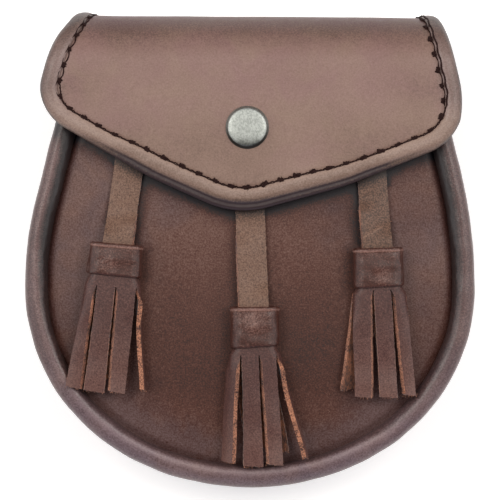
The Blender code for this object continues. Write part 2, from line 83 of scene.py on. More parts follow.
def rise(value, start, run):
    """0 while value is below start, 1 from run past it and an easy curve between, start and run in mm."""
    return smooth_step((value - start * MM) / (run * MM))


def half_width(y, inset=0.0):
    """Half the pouch's width at height y, on its outline moved inwards by inset."""
    up = y - WIDEST_Y
    if up < 0:
        share = up / (BOWL_HEIGHT - inset)
        return (HALF_WIDTH - inset) * sqrt(max(0.0, 1 - share * share))
    radius = SIDE_RADIUS - inset
    arc_height = radius * sin(SIDE_LEAN)
    if up < arc_height:
        return HALF_WIDTH - SIDE_RADIUS + sqrt(radius * radius - up * up)
    arc_end = HALF_WIDTH - SIDE_RADIUS + radius * cos(SIDE_LEAN)
    return arc_end - (up - arc_height) * tan(SIDE_LEAN)


def front_panel_z(x, y):
    """Height of the front panel's outer face: highest in its middle, lower towards the rim and the top."""
    up = y - WIDEST_Y
    if up < 0:
        towards_rim = hypot(x / (HALF_WIDTH - RIM_WIDTH), up / (BOWL_HEIGHT - RIM_WIDTH))
        towards_top = 0.0
    else:
        towards_rim = abs(x) / half_width(y, RIM_WIDTH)
        towards_top = up / (DOME_OVER * (PANEL_TOP - WIDEST_Y))
    falls_off = 1 - min(towards_rim, 1.0) ** DOME_POWER
    return PANEL_EDGE_Z + PANEL_RISE * falls_off * (1 - towards_top**2)


def aside(y):
    """How far the pouch stands to the right at height y: its top was sewn on a little askew."""
    return SEWN_ASKEW * rise(y, 2, 26)


def waves(place, size, depth, offset=0.0):
    """A soft unevenness of about this size and depth, always the same at the same place."""
    return depth * noise.noise(place / size + Vector((offset, offset, offset)))


def select_only(piece):
    bpy.ops.object.select_all(action="DESELECT")
    piece.select_set(True)
    bpy.context.view_layer.objects.active = piece


def edit_all(piece, operator):
    """Runs an operator of edit mode on all of the piece."""
    select_only(piece)
    bpy.ops.object.mode_set(mode="EDIT")
    bpy.ops.mesh.select_all(action="SELECT")
    operator()
    bpy.ops.object.mode_set(mode="OBJECT")


def bend(piece, place):
    """Moves each point of the piece to place(point)."""
    for vertex in piece.data.vertices:
        vertex.co = place(vertex.co)
    piece.data.update()


def set_tone(piece, tones, kind="tone"):
    """Notes at each point how much lighter than the rest the leather is there, much of it painted light and
    shade, or, as "wax", how much more waxy bloom and painted cool sheen it has. tones is a list or gives
    the tone at a point."""
    if callable(tones):
        tones = [tones(vertex.co) for vertex in piece.data.vertices]
    notes = piece.data.attributes.new(kind, "FLOAT", "POINT")
    notes.data.foreach_set("value", tones)


def change_tone(piece, change, kind="tone"):
    """Adds change(point) to what set_tone noted at each point."""
    notes = piece.data.attributes[kind].data
    for vertex in piece.data.vertices:
        notes[vertex.index].value += change(vertex.co)


def apply_modifier(piece, kind, **settings):
    """Gives the piece this modifier with its settings and applies it."""
    select_only(piece)
    modifier = piece.modifiers.new(kind.title(), kind)
    for key, value in settings.items():
        setattr(modifier, key, value)
    bpy.ops.object.modifier_apply(modifier=modifier.name)


def moulded_blank(name, inset, top, mould):
    """A round blank of leather, inset ring by ring, stretched to the pouch's outline and moulded: mould
    gives a point's place from where it lies flat and how far it is from the edge."""
    radius = HALF_WIDTH
    bpy.ops.mesh.primitive_circle_add(vertices=SPOKES, radius=radius, fill_type="NGON", location=MIDDLE)
    blank = bpy.context.object
    blank.name = name
    bpy.ops.object.mode_set(mode="EDIT")
    ring, left = FINEST_RING, radius
    while left > 6 * MM:
        bpy.ops.mesh.inset(thickness=ring)
        left -= ring
        ring = min(ring * RINGS_WIDEN, WIDEST_RING)
    bpy.ops.mesh.poke()
    bpy.ops.object.mode_set(mode="OBJECT")
    bpy.ops.object.transform_apply(location=True, rotation=False, scale=False)

    reaches = []
    for spoke in range(SPOKES):
        angle = 2 * pi * spoke / SPOKES
        direction = Vector((cos(angle), sin(angle), 0))
        near, far = 0.0, 2 * radius
        for _ in range(40):
            middle = (near + far) / 2
            spot = MIDDLE + direction * middle
            inside = spot.y < top and abs(spot.x) < half_width(spot.y, inset)
            near, far = (middle, far) if inside else (near, middle)
        reaches.append(direction * near)

    def stretched(p):
        """Where a point of the round blank goes. Its tone, painted light and shade, and its wax, a painted
        cool tint, are noted on the way.
        """
        out = p - MIDDLE
        share = out.length / radius
        spoke = round(atan2(out.y, out.x) / (2 * pi) * SPOKES)
        reach = reaches[spoke % SPOKES]
        along = reaches[(spoke + 1) % SPOKES] - reaches[spoke - 1]
        square_to_edge = abs(reach.x * along.y - reach.y * along.x) / along.length
        from_edge = (1 - share) * square_to_edge
        place = mould(MIDDLE + reach * share, from_edge)
        by_foot = rise(-place.y, 45, 28)
        by_rim = by_foot * (1 - rise(from_edge, 4, 16))
        off_middle = smooth_step(hypot(place.x, place.y + 30 * MM) / (32 * MM) - 0.85)
        # painted shade in the crease along the rim, strongest towards the top
        crease_shade = rise(place.y, -50, 70) * (1 - smooth_step((from_edge - PANEL_TUCK) / (3.5 * MM)))
        # painted light: paler upwards and to the sides, a little less so at the upper sides and at the upper
        # right
        wear_and_painted_light = 0.34 * rise(place.y, -52, 80) - 0.15
        wear_and_painted_light += 0.12 * rise(abs(place.x), 30, 30)
        wear_and_painted_light -= 0.1 * rise(place.y, -2, 16) * rise(abs(place.x), 28, 20)
        wear_and_painted_light -= 0.12 * rise(place.x, 0, 20) * rise(place.y, 0, 14)
        # painted light: paler by the foot of the rim and off the middle
        wear_and_painted_light += 0.12 * by_foot + 0.22 * by_rim + 0.09 * off_middle
        tones.append(wear_and_painted_light - 0.35 * crease_shade)
        # painted cool tint: cooler off the middle, by the foot of the rim and in the painted crease shade
        painted_cool_tints.append(0.5 * off_middle - 0.45 + 0.35 * by_rim + 0.45 * crease_shade)
        place.x += aside(place.y)
        return place

    tones, painted_cool_tints = [], []
    bend(blank, stretched)
    set_tone(blank, tones)
    set_tone(blank, painted_cool_tints, "wax")
    return blank


def moulded_front(p, from_edge):
    """Where the front panel's outer face lies, from_edge being the way in from its hidden edge."""
    dips = CREASE_DEPTH * (1 - smooth_step((from_edge - 0.5 * MM) / CREASE_WIDTH)) ** 1.4
    uneven = waves(p, 34 * MM, 0.35 * MM) + waves(p, 11 * MM, 0.06 * MM, 7.1)
    settled = rise(from_edge, 0, 14)
    return Vector((p.x, p.y, front_panel_z(p.x, p.y) - dips + uneven * settled))


def linear(colour):
    """An sRGB colour, written as in a paint program, as the linear numbers that a shader takes."""
    parts = [int(colour[i : i + 2], 16) / 255 for i in (1, 3, 5)]
    return (*(c / 12.92 if c <= 0.04045 else ((c + 0.055) / 1.055) ** 2.4 for c in parts), 1.0)


def add_node(tree, kind, settings=None, links=None):
    """Adds a shader node. settings are its own options or its inputs' values. links are the sockets that it
    reads, or nodes, of which it reads the first output."""
    node = tree.nodes.new("ShaderNode" + kind)
    for key, value in (settings or {}).items():
        if isinstance(key, str) and hasattr(node, key):
            setattr(node, key, value)
        else:
            node.inputs[key].default_value = value
    for key, source in (links or {}).items():
        tree.links.new(getattr(source, "outputs", [source])[0], node.inputs[key])
    return node


def new_material(name, roughness, **sockets):
    """A material with these fixed values on its shader, and the point where its patterns start."""
    made = bpy.data.materials.new(name)
    made.use_nodes = True
    tree = made.node_tree
    shader = tree.nodes["Principled BSDF"]
    shader.inputs["Roughness"].default_value = roughness
    for socket, value in sockets.items():
        shader.inputs[socket.replace("_", " ")].default_value = value
    place = add_node(tree, "TexCoord").outputs["Object"]
    return made, tree, shader, place


def colour_and_relief(tree, shader, colour, height, depth):
    """Gives the shader its mixed colour, and a relief that lets height stand out by this depth."""
    tree.links.new(colour.outputs[2], shader.inputs["Base Color"])
    relief = add_node(tree, "Bump", {"Strength": 1.0, "Distance": depth}, {"Height": height})
    tree.links.new(relief.outputs["Normal"], shader.inputs["Normal"])


def grain_leather(
    name, dark, middle, light, roughness, relief, cloudiness, speckle, cool="#ffffff", gloss=0.5
):
    """Dyed full-grain cowhide. Clouds of deeper and lighter dye, a fine pebble and its pores, and a satin
    wax finish that is duller where it has been handled, gloss being how strongly it shines. tone, where a
    piece has that attribute, lightens or darkens it, much of it painted light: painted shade in creases and
    hollows and painted highlights on crests. A bloom of wax tints the dye with the colour cool, and where the
    attribute wax is high the same tint is painted cool sheen and painted cool shade. The pores, really
    0.2 mm, are drawn 0.6 mm wide."""
    made, tree, shader, place = new_material(name, roughness, Specular_IOR_Level=gloss)
    where = {"Vector": place}
    clouds = add_node(tree, "TexNoise", {"Scale": 1 / (24 * MM), "Detail": 3.0}, where)
    streaks = add_node(tree, "TexNoise", {"Scale": 1 / (3.2 * MM), "Detail": 5.0, "Roughness": 0.62}, where)
    pebble = add_node(tree, "TexNoise", {"Scale": 1 / (0.65 * MM), "Detail": 2.0, "Roughness": 0.7}, where)
    pores = add_node(tree, "TexVoronoi", {"Scale": 1 / (0.6 * MM)}, where)
    shade = add_node(tree, "Attribute", {"attribute_name": "tone"}).outputs["Fac"]
    for pattern, strength in ((clouds, cloudiness), (streaks, 0.8 * cloudiness), (pebble, speckle)):
        shade = add_node(tree, "Math", {"operation": "MULTIPLY_ADD", 1: strength}, {0: pattern, 2: shade})
    centre = (1.8 * cloudiness + speckle) / 2 - 0.5
    centred = add_node(tree, "Math", {"operation": "SUBTRACT", 1: centre}, {0: shade})
    ramp = add_node(tree, "ValToRGB", None, {"Fac": centred})
    stops = ramp.color_ramp.elements
    stops[0].color = linear(dark)
    stops[1].color = linear(light)
    stops.new(0.5).color = linear(middle)
    stops.new(0.27).color = (*(0.55 * part for part in linear(middle)[:3]), 1.0)
    bloom = add_node(tree, "TexNoise", {"Scale": 1 / (15 * MM), "Detail": 3.0, "Distortion": 0.6}, where)
    # the attribute wax adds painted cool sheen and painted cool shade to the bloom's noise
    wax_and_sheen_note = add_node(tree, "Attribute", {"attribute_name": "wax"})
    bloom_and_sheen = add_node(tree, "Math", {"operation": "ADD"}, {0: bloom, 1: wax_and_sheen_note.outputs["Fac"]})
    coolness = add_node(tree, "MapRange", {"From Min": 0.3, "From Max": 0.75}, {"Value": bloom_and_sheen})
    tint = {"data_type": "RGBA", "blend_type": "MULTIPLY", 7: linear(cool)}
    dyed = add_node(tree, "Mix", tint, {0: coolness, 6: ramp})
    duller = {"From Min": 0.3, "From Max": 0.7, "To Min": roughness - 0.05, "To Max": roughness + 0.07}
    handled = add_node(tree, "MapRange", duller, {"Value": streaks})
    tree.links.new(handled.outputs["Result"], shader.inputs["Roughness"])
    height = add_node(tree, "Math", {"operation": "MULTIPLY_ADD", 1: 0.35}, {0: pores, 2: pebble})
    colour_and_relief(tree, shader, dyed, height, relief)
    return made


def raw_leather(name, dark, light, stretch):
    """The undyed or half-dyed fibres under the grain, as they show on a cut edge or on the flesh side:
    matt, mottled and hairy. stretch is how much longer than wide the flecks are along X, Y and Z."""
    made, tree, shader, place = new_material(name, 0.85, Sheen_Weight=0.25)
    along = add_node(tree, "Mapping", {"Scale": tuple(1 / s for s in stretch)}, {"Vector": place})
    fleck = {"Scale": 1 / (0.6 * MM), "Detail": 3.0, "Roughness": 0.7}
    flecks = add_node(tree, "TexNoise", fleck, {"Vector": along})
    patches = add_node(tree, "TexNoise", {"Scale": 1 / (5 * MM), "Detail": 2.0}, {"Vector": place})
    mixed = add_node(tree, "Math", {"operation": "MULTIPLY_ADD", 1: 0.5}, {0: patches, 2: flecks})
    spread = add_node(tree, "MapRange", {"From Min": 0.62, "From Max": 0.88}, {"Value": mixed})
    colour = add_node(tree, "Mix", {"data_type": "RGBA", 6: linear(dark), 7: linear(light)}, {0: spread})
    colour_and_relief(tree, shader, colour, flecks, 0.12 * MM)
    return made


def thicken(piece, thickness, offset, grain, flesh, edge):
    """Gives a sheet its thickness, the grain side out, the flesh side in and its cut edge between."""
    for look in (grain, flesh, edge):
        piece.data.materials.append(look)
    apply_modifier(
        piece, "SOLIDIFY", thickness=thickness, offset=offset, material_offset=1, material_offset_rim=2
    )


def place_piece(piece, slot, *nodes, look=None):
    """Shades the finished piece, all of it in one look if that is given, and makes it part of the sporran,
    in place of these nodes of the frame."""
    if look:
        piece.data.materials.append(look)
    select_only(piece)
    bpy.ops.object.shade_smooth_by_angle(angle=radians(42))
    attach(piece, "root")
    if nodes:
        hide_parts(*nodes)


# Chestnut vegetable-tanned cowhide: red-brown dye; its near black is painted shade, in the crease and under
# the flap and the tassels.
pouch_grain = grain_leather(
    "Chestnut_cowhide_grain", "#221c1e", "#502d23", "#75594f", 0.5, relief=0.07 * MM, cloudiness=0.3,
    speckle=1.25, cool="#dfe8ff", gloss=0.33
)
flesh_side = raw_leather("Cowhide_flesh_side", "#5d4034", "#8a6a58", (1, 1, 1))
cut_edge = raw_leather("Cowhide_cut_edge", "#5b3526", "#b07f66", (1, 3, 1))

front_panel = moulded_blank("pouch_front", RIM_WIDTH - PANEL_TUCK, PANEL_TOP, moulded_front)
thicken(front_panel, PANEL_LEATHER, -1, pouch_grain, flesh_side, cut_edge)
place_piece(front_panel, "pouch_leather", "front_panel")


# ================================================================ padded rims
# Two rolls of thin leather, each sewn tight round a cord and carried along the seam: one frames the
# front panel, the other the back. The sewing pulls small wrinkles into their inner flanks.

RIM_TOP_Y = 71 * MM
RIM_STEPS = 460
RIM_FACES_ROUND = 40
FRONT_RIM_LOW, FRONT_RIM_HIGH = (corner.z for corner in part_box("front_rim"))
BACK_RIM_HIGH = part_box("back_rim")[1].z
CREST_SHIFT = 1.1 * MM  # how far the front roll's crest lies inwards of its middle, round the bowl
CREST_SHIFT_AT_SIDE = -0.7 * MM
CREST_SHIFT_RIGHT = -1.1 * MM  # added to it at the lower right, where the crest lies over the middle
SKIN_IN = 0.1 * MM  # how far the leather's mean surface lies inside the roll's outline
FULLER = 0.6 * MM  # how far the round bottom bulges past an ellipse, halfway to each side


def evenly(points, count):
    """The line through points, given again as count + 1 points an equal way apart."""
    reached = [0.0]
    for before, after in zip(points, points[1:]):
        reached.append(reached[-1] + (after - before).length)
    placed, k = [], 0
    for step in range(count + 1):
        target = reached[-1] * step / count
        while k < len(points) - 2 and reached[k + 1] < target:
            k += 1
        placed.append(points[k].lerp(points[k + 1], (target - reached[k]) / (reached[k + 1] - reached[k])))
    return placed


def directions(points):
    """The line's direction at each of its points."""
    last = len(points) - 1
    return [(points[min(i + 1, last)] - points[max(i - 1, 0)]).normalized() for i in range(last + 1)]


def line_length(points):
    """How long the line through points is."""
    return sum((after - before).length for before, after in zip(points, points[1:]))


def pouch_path(inset, top, count):
    """Even steps along the outline moved in by inset, from its right top round the bottom to its left top."""
    right = []
    for step in range(60):
        y = top + (WIDEST_Y - top) * step / 60
        right.append(Vector((half_width(y, inset), y, 0)))
    for step in range(90):
        angle = pi / 2 * step / 90
        fuller = FULLER * sin(2 * angle) ** 2
        x = (HALF_WIDTH - inset + fuller) * cos(angle)
        right.append(Vector((x, WIDEST_Y - (BOWL_HEIGHT - inset + fuller) * sin(angle), 0)))
    bottom = Vector((0, WIDEST_Y - BOWL_HEIGHT + inset, 0))
    left = [Vector((-p.x, p.y, 0)) for p in reversed(right)]
    outline = [Vector((p.x + aside(p.y), p.y, 0)) for p in right + [bottom] + left]
    return evenly(outline, count)


def cut_strip(name, length, width, along, across):
    """A flat strip of leather with its length along X, divided so that it can bend."""
    bpy.ops.mesh.primitive_grid_add(x_subdivisions=along, y_subdivisions=across, size=1)
    strip = bpy.context.object
    strip.name = name
    bpy.ops.object.mode_set(mode="EDIT")
    bpy.ops.transform.resize(value=(length, width, 1))
    bpy.ops.object.mode_set(mode="OBJECT")
    return strip


def roll_up(name, length, girth, along, around, place, tone=None):
    """A strip rolled up along its length: place(step, turn) is where it goes, turn from 0 to 1 round,
    and tone(step, turn) how much lighter or darker it is there."""
    strip = cut_strip(name, length, girth, along, around)
    spots = []
    for vertex in strip.data.vertices:
        turn = round((vertex.co.y / girth + 0.5) * around) % around / around
        spots.append((round((vertex.co.x / length + 0.5) * along), turn))
    for vertex, (step, turn) in zip(strip.data.vertices, spots):
        vertex.co = place(step, turn)
    if tone:
        set_tone(strip, [tone(step, turn) for step, turn in spots])
    bpy.ops.object.mode_set(mode="EDIT")
    bpy.ops.mesh.select_all(action="SELECT")
    bpy.ops.mesh.remove_doubles(threshold=0.0005 * MM)
    bpy.ops.mesh.fill_holes(sides=0)
    bpy.ops.mesh.normals_make_consistent(inside=False)
    bpy.ops.object.mode_set(mode="OBJECT")
    return strip


rim_path = pouch_path(RIM_WIDTH / 2, RIM_TOP_Y, RIM_STEPS)
rim_directions = directions(rim_path)


def on_rim(step, turn, low, high, crest_shift):
    """A point of a roll: turn 0 is on its outer side, a quarter on its crest, a half on its inner side."""
    spot, along = rim_path[step], rim_directions[step]
    out = Vector((-along.y, along.x, 0))
    round_bowl = smooth_step((WIDEST_Y + 25 * MM - spot.y) / (50 * MM))
    shift = CREST_SHIFT_AT_SIDE + (crest_shift - CREST_SHIFT_AT_SIDE) * round_bowl
    shift += CREST_SHIFT_RIGHT * round_bowl * rise(spot.x, 40, 20)
    angle = 2 * pi * turn
    outwards = RIM_WIDTH / 2 * cos(angle) - shift * max(0.0, sin(angle)) ** 2
    up = (high - low) / 2 * sin(angle)
    middle = (low + high) / 2
    skin = spot + out * outwards + Vector((0, 0, middle + up))
    inner = max(0.0, -cos(angle))
    pulled = waves(skin, 2.2 * MM, 0.16 * MM, 3.3) * (0.25 + inner) + waves(skin, 9 * MM, 0.22 * MM, 5.5)
    away = (out * cos(angle) + Vector((0, 0, sin(angle)))).normalized()
    return skin + away * (pulled - SKIN_IN)


def make_rim(name, node, low, high, crest_shift, lowest):
    """A padded roll. Nothing of it is below the height lowest: the back one is flat where it lies."""

    def place(step, turn):
        skin = on_rim(step, turn, low, high, crest_shift)
        skin.z = max(skin.z, lowest)
        return skin

    def tone(step, turn):
        """Painted shade down its inner flank, most by the top of the pouch, and a painted highlight along its
        crest; painted lighter towards the foot and darker towards the top.
        """
        spot = rim_path[step]
        by_top = rise(spot.y, -50, 70)
        by_foot = rise(-spot.y, 30, 50)
        deeper = (0.26 + 0.28 * by_top) * smooth_step((-cos(2 * pi * turn) + 0.12) / 0.95)
        at_side = 0.2 if spot.x < 0 else 0.04
        painted_paler = at_side + (0.3 - at_side) * rise(-spot.y, 58, 26)
        by_bottom = rise(-spot.y, 62, 25)
        crest = smooth_step(1 - abs(turn - 0.25 - 0.04 * by_bottom) / (0.08 + 0.015 * by_bottom))
        return painted_paler * crest - deeper + 0.2 * by_foot - 0.08 * by_top

    roll = roll_up(name, line_length(rim_path), pi * RIM_WIDTH, RIM_STEPS, RIM_FACES_ROUND, place, tone)
    # painted cool sheen on the roll, more of it towards the foot
    set_tone(roll, lambda p: 0.45 * rise(-p.y, -30, 110) - 0.35, "wax")
    place_piece(roll, "rim_leather", node, look=rim_grain)
    return roll


# Thin chrome-tanned piping leather in the same brown, its tighter finish glossier; its greyer, mauve cast is
# painted reflection of the pale room.
rim_grain = grain_leather(
    "Piping_leather_grain", "#241d1d", "#5b4543", "#8a726f", 0.34, relief=0.08 * MM, cloudiness=0.25,
    speckle=1.1, cool="#eaf0ff"
)

front_rim = make_rim("rim_front", "front_rim", FRONT_RIM_LOW, FRONT_RIM_HIGH, CREST_SHIFT, 0.0)
make_rim("rim_back", "back_rim", -0.35 * MM, BACK_RIM_HIGH, 0.0, 0.02 * MM)


# ================================================================ gusset
# The side wall is a long strip of the panels' leather, sewn between the two rims. It bellies inwards
# in use, and soft upright folds run across it.

GUSSET_INSET = 3.6 * MM
GUSSET_LEATHER = 2 * MM
GUSSET_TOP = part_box("gusset")[1].y
GUSSET_SAG = 1.4 * MM
GUSSET_TUCK = 1.5 * MM  # height of the strip's edges that are hidden between the rolls
GUSSET_STEPS = 300
gusset_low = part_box("gusset")[0].z - GUSSET_TUCK
gusset_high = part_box("gusset")[1].z + GUSSET_TUCK
gusset_path = pouch_path(GUSSET_INSET, GUSSET_TOP, GUSSET_STEPS)
gusset_directions = directions(gusset_path)
gusset_length = line_length(gusset_path)
gusset_height = gusset_high - gusset_low


def on_gusset(p):
    """The strip's place for a point of it laid flat: its outer face, bellied inwards and folded."""
    step = round((p.x / gusset_length + 0.5) * GUSSET_STEPS)
    spot, along = gusset_path[step], gusset_directions[step]
    out = Vector((-along.y, along.x, 0))
    share = 2 * p.y / gusset_height
    sag = GUSSET_SAG * (1 - share * share)
    folds = waves(Vector((p.x, p.y * 0.25, 0)), 9 * MM, 0.7 * MM, 2.0) * (1 - share * share)
    return spot - out * (sag + folds) + Vector((0, 0, (gusset_low + gusset_high) / 2 + p.y))


gusset = cut_strip("gusset_strip", gusset_length, gusset_height, GUSSET_STEPS, 22)
bend(gusset, on_gusset)
edit_all(gusset, bpy.ops.mesh.flip_normals)
thicken(gusset, GUSSET_LEATHER, -1, pouch_grain, flesh_side, cut_edge)
place_piece(gusset, "pouch_leather", "gusset")


# ================================================================ back panel
# The back is a flat piece of the same leather, its grain side out. It lies inside the back rim and
# carries the flap's sewn-down end and the two strap loops.

BACK_PANEL_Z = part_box("back_panel")[0].z
BACK_PANEL_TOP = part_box("back_panel")[1].y


def flat_back(p, from_edge):
    """Where the back panel's outer face lies, its edge tucked in between the rolls."""
    uneven = waves(p, 30 * MM, 0.2 * MM, 4.0) * rise(from_edge, 0, 10)
    tucked = 0.8 * MM * (1 - rise(from_edge, 0, 2.5))
    return Vector((p.x, p.y, BACK_PANEL_Z + uneven + tucked))


back_panel = moulded_blank("pouch_back", RIM_WIDTH - PANEL_TUCK, BACK_PANEL_TOP, flat_back)
edit_all(back_panel, bpy.ops.mesh.flip_normals)
thicken(back_panel, PANEL_LEATHER, -1, pouch_grain, flesh_side, cut_edge)
place_piece(back_panel, "pouch_leather", "back_panel")


# ================================================================ strap loops
# Two bent strips, stitched to the back at their feet, take the strap that the sporran hangs from.

LOOP_LEATHER = 2 * MM
LOOP_FOOT = 7 * MM
LOOP_STEP = 4.6 * MM
FOOT_ROWS = (2.2 * MM, 5.4 * MM)  # of stitches, from each end of a loop
STITCH_LENGTH = 2.5 * MM
STITCH_PITCH = 3.4 * MM
THREAD_RADIUS = 0.36 * MM
LOOP_ROWS = 3  # stitches across the foot, on each side of its middle


def thread_along(name, points, ups, radius, around=6, twist=0.0):
    """A thread that follows these points, its ends closed, ups being the way out of the leather at each.
    twist lays a shallow screw on it, as plied cord has."""
    ways = directions(points)
    last = len(points) - 1

    def place(step, turn):
        side = ways[step].cross(ups[step]).normalized()
        over = side.cross(ways[step]).normalized()
        angle = 2 * pi * turn
        end = min(step, last - step)
        thick = radius * (0.55 if end == 0 else 1.0) * (1 + twist * cos(2 * angle + step * 1.1))
        return points[step] + (side * cos(angle) + over * sin(angle)) * thick

    return roll_up(name, max(line_length(points), MM), 2 * pi * radius, last, around, place)


def join_pieces(name, pieces):
    """The pieces joined into one mesh."""
    select_only(pieces[0])
    for piece in pieces:
        piece.select_set(True)
    bpy.ops.object.join()
    joined = bpy.context.object
    joined.name = name
    return joined


def copies_of(model, name, frames):
    """The model copied into each of these frames, each copy with its own mesh, and all of them joined."""
    copies = []
    for place in frames:
        copy = bpy.data.objects.new(name, model.data.copy())
        copy.data.transform(place)
        bpy.context.scene.collection.objects.link(copy)
        copies.append(copy)
    bpy.data.objects.remove(model)
    return join_pieces(name, copies)


def plain_stitch():
    """One stitch along X, that dives into the leather at both ends."""
    points = []
    for share in (step / 8 for step in range(9)):
        height = 0.35 * MM - 0.75 * MM * abs(2 * share - 1) ** 4
        points.append(Vector(((share - 0.5) * STITCH_LENGTH, 0, height)))
    return thread_along("stitch", points, [Vector((0, 0, 1))] * 9, THREAD_RADIUS, around=8)


def waxed_thread(name, dark, light):
    """Plied polyester thread drawn through beeswax: near black, with a dull gloss on its turns. The
    turns, really 0.3 mm, are drawn 0.5 mm apart."""
    made, tree, shader, place = new_material(name, 0.7, Specular_IOR_Level=0.15)
    plies = add_node(tree, "TexNoise", {"Scale": 1 / (0.5 * MM), "Detail": 3.0}, {"Vector": place})
    colour = add_node(tree, "Mix", {"data_type": "RGBA", 6: linear(dark), 7: linear(light)}, {0: plies})
    colour_and_relief(tree, shader, colour, plies, 0.08 * MM)
    return made


thread_look = waxed_thread("Waxed_polyester_thread", "#160909", "#301815")


def on_loop(p, low, high, foot_z):
    """The strip's place for a point of it laid flat along Y, its middle leather at z 0."""
    from_end = min(p.y - low.y, high.y - p.y)
    drop = smooth_step((from_end - LOOP_FOOT) / LOOP_STEP)
    slope = 0.0
    if LOOP_FOOT < from_end < LOOP_FOOT + LOOP_STEP:
        share = (from_end - LOOP_FOOT) / LOOP_STEP
        slope = (foot_z - LOOP_LEATHER / 2) * 6 * share * (1 - share) / LOOP_STEP
        slope *= 1 if p.y - low.y < high.y - p.y else -1
    upright = Vector((0, slope, 1)).normalized()
    middle = foot_z - (foot_z - LOOP_LEATHER / 2) * drop
    return Vector((p.x, p.y, middle)) + upright * p.z


loop_frames = []
for side in ("left", "right"):
    node = "strap_loop_" + side
    low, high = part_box(node)
    foot_z = high.z - LOOP_LEATHER / 2
    length, width = high.y - low.y, high.x - low.x
    loop = cut_strip("loop_" + side, width, length, 12, 96)
    thicken(loop, LOOP_LEATHER, 0, pouch_grain, flesh_side, cut_edge)
    apply_modifier(loop, "BEVEL", width=0.3 * MM, segments=2, limit_method="ANGLE", angle_limit=radians(60))
    middle = (low + high) / 2
    bend(loop, lambda p: on_loop(Vector((p.x + middle.x, p.y + middle.y, -p.z)), low, high, foot_z))
    edit_all(loop, bpy.ops.mesh.normals_make_consistent)
    place_piece(loop, "pouch_leather", node)
    for end in (*(low.y + row for row in FOOT_ROWS), *(high.y - row for row in FOOT_ROWS[::-1])):
        for k in range(-LOOP_ROWS, LOOP_ROWS + 1):
            spot = Vector((middle.x + k * STITCH_PITCH, end, foot_z - LOOP_LEATHER / 2))
            loop_frames.append(Matrix.Translation(spot) @ Matrix.Rotation(pi, 4, "X"))

loop_stitches = copies_of(plain_stitch(), "loop_stitches", loop_frames)
place_piece(loop_stitches, "pouch_leather", look=thread_look)


# ================================================================ flap
# The flap is the heaviest leather, 2.6 mm. It is sewn to the back, goes over the top of the pouch in
# a round fold and lies over the front, its face pulled down into the seam of its padded border.

FLAP_LEATHER = 2.6 * MM
FOLD_RADIUS = 19 * MM  # to the middle of the leather
FOLD_Y = 73.6 * MM
FOLD_Z = BACK_PANEL_Z - 0.3 * MM - FLAP_LEATHER / 2 + FOLD_RADIUS
FLAP_TILT = radians(2.2)
FLAP_TIP_Y = 15.6 * MM
FOLD_BEGINS = (FOLD_Y + FOLD_RADIUS * sin(FLAP_TILT) - FLAP_TIP_Y) / cos(FLAP_TILT)  # up the flat pattern
FOLD_ENDS = FOLD_BEGINS + FOLD_RADIUS * (pi - FLAP_TILT)
FLAP_CORNERS = (
    # name, x, up, corner radius, all in mm
    ("rear_left", -66.0, 155.0, 12),
    ("turn_left", -64.0, 110.0, 4),
    ("fold_left", -73.2, 76.1, 35),
    ("side_left", -79.6, 64.3, 79),
    ("upper_lobe_left", -83.8, 49.0, 14),
    ("lobe_left", -80.7, 37.0, 20),
    ("edge_left", -40.0, 13.4, 90),
    ("tip", -5.4, -2.1, 36),
    ("edge_right", 37.7, 9.7, 90),
    ("lobe_right", 79.5, 26.4, 22),
    ("upper_lobe_right", 83.5, 35.8, 6),
    ("side_right", 84.9, 44.8, 42),
    ("fold_right", 77.9, 75.2, 40),
    ("turn_right", 71.6, 110.0, 4),
    ("rear_right", 68.0, 155.0, 12),
)
BORDER_ENDS_UP = 110 * MM
REAR_INSET = 8.3 * MM  # of the flap's bare rear edges from the pattern's outline
SEAM_LEFT = 7.1 * MM  # the border's width, from the flap's edge to its seam
SEAM_RIGHT = 7.0 * MM
SEAM_AT_TIP = 8.9 * MM
SEAM_BY_LOBES = 7.2 * MM
SEAM_NARROWS = {"left": (-42 * MM, -20 * MM), "right": (15 * MM, 45 * MM)}  # from this x, over this distance
PANEL_PAST_SEAM = 0.25 * MM  # how far the flap's panel and its border each go past the middle of the seam
GROOVE_DEPTH = 0.4 * MM
GROOVE_WIDTH = 1.7 * MM
FOLD_LIFT = 0.45 * MM  # the fold stands this much further up than a square one, and more at its left end
FOLD_SKEW = 0.0085  # how much more, for each unit of the way to the left
FLAP_ROWS = 104
OUTLINE_STEPS = 1200


def rounded(corners):
    """The closed outline through corners, each (x, y, radius), as points with round corners."""
    points = []
    for i, (x, y, radius) in enumerate(corners):
        corner = Vector((x, y, 0))
        before = (Vector((*corners[i - 1][:2], 0)) - corner).normalized()
        after = (Vector((*corners[(i + 1) % len(corners)][:2], 0)) - corner).normalized()
        turn = pi - before.angle(after)
        tangent = radius * tan(turn / 2)
        middle = corner + (before + after).normalized() * hypot(radius, tangent)
        start = corner + before * tangent - middle
        side = 1 if before.cross(after).z < 0 else -1
        count = max(1, ceil(turn / radians(3)))
        for k in range(count + 1):
            points.append(middle + Matrix.Rotation(side * turn * k / count, 3, "Z") @ start)
    return points


def fold_over(p):
    """Where the flap's fold takes a point of its flat pattern. p.z is its height above mid leather."""
    wrapped = min(max(p.y, FOLD_BEGINS), FOLD_ENDS)
    angle = pi / 2 - FLAP_TILT - (wrapped - FOLD_BEGINS) / FOLD_RADIUS
    reach = FOLD_RADIUS + p.z
    past = wrapped - p.y  # along the straight front, or below 0 along the straight rear
    y = FOLD_Y + reach * cos(angle) - past * sin(angle)
    y += (FOLD_LIFT - FOLD_SKEW * p.x) * rise(p.y - FOLD_BEGINS, -12, 26)
    return Vector((p.x, y, FOLD_Z + reach * sin(angle) + past * cos(angle)))


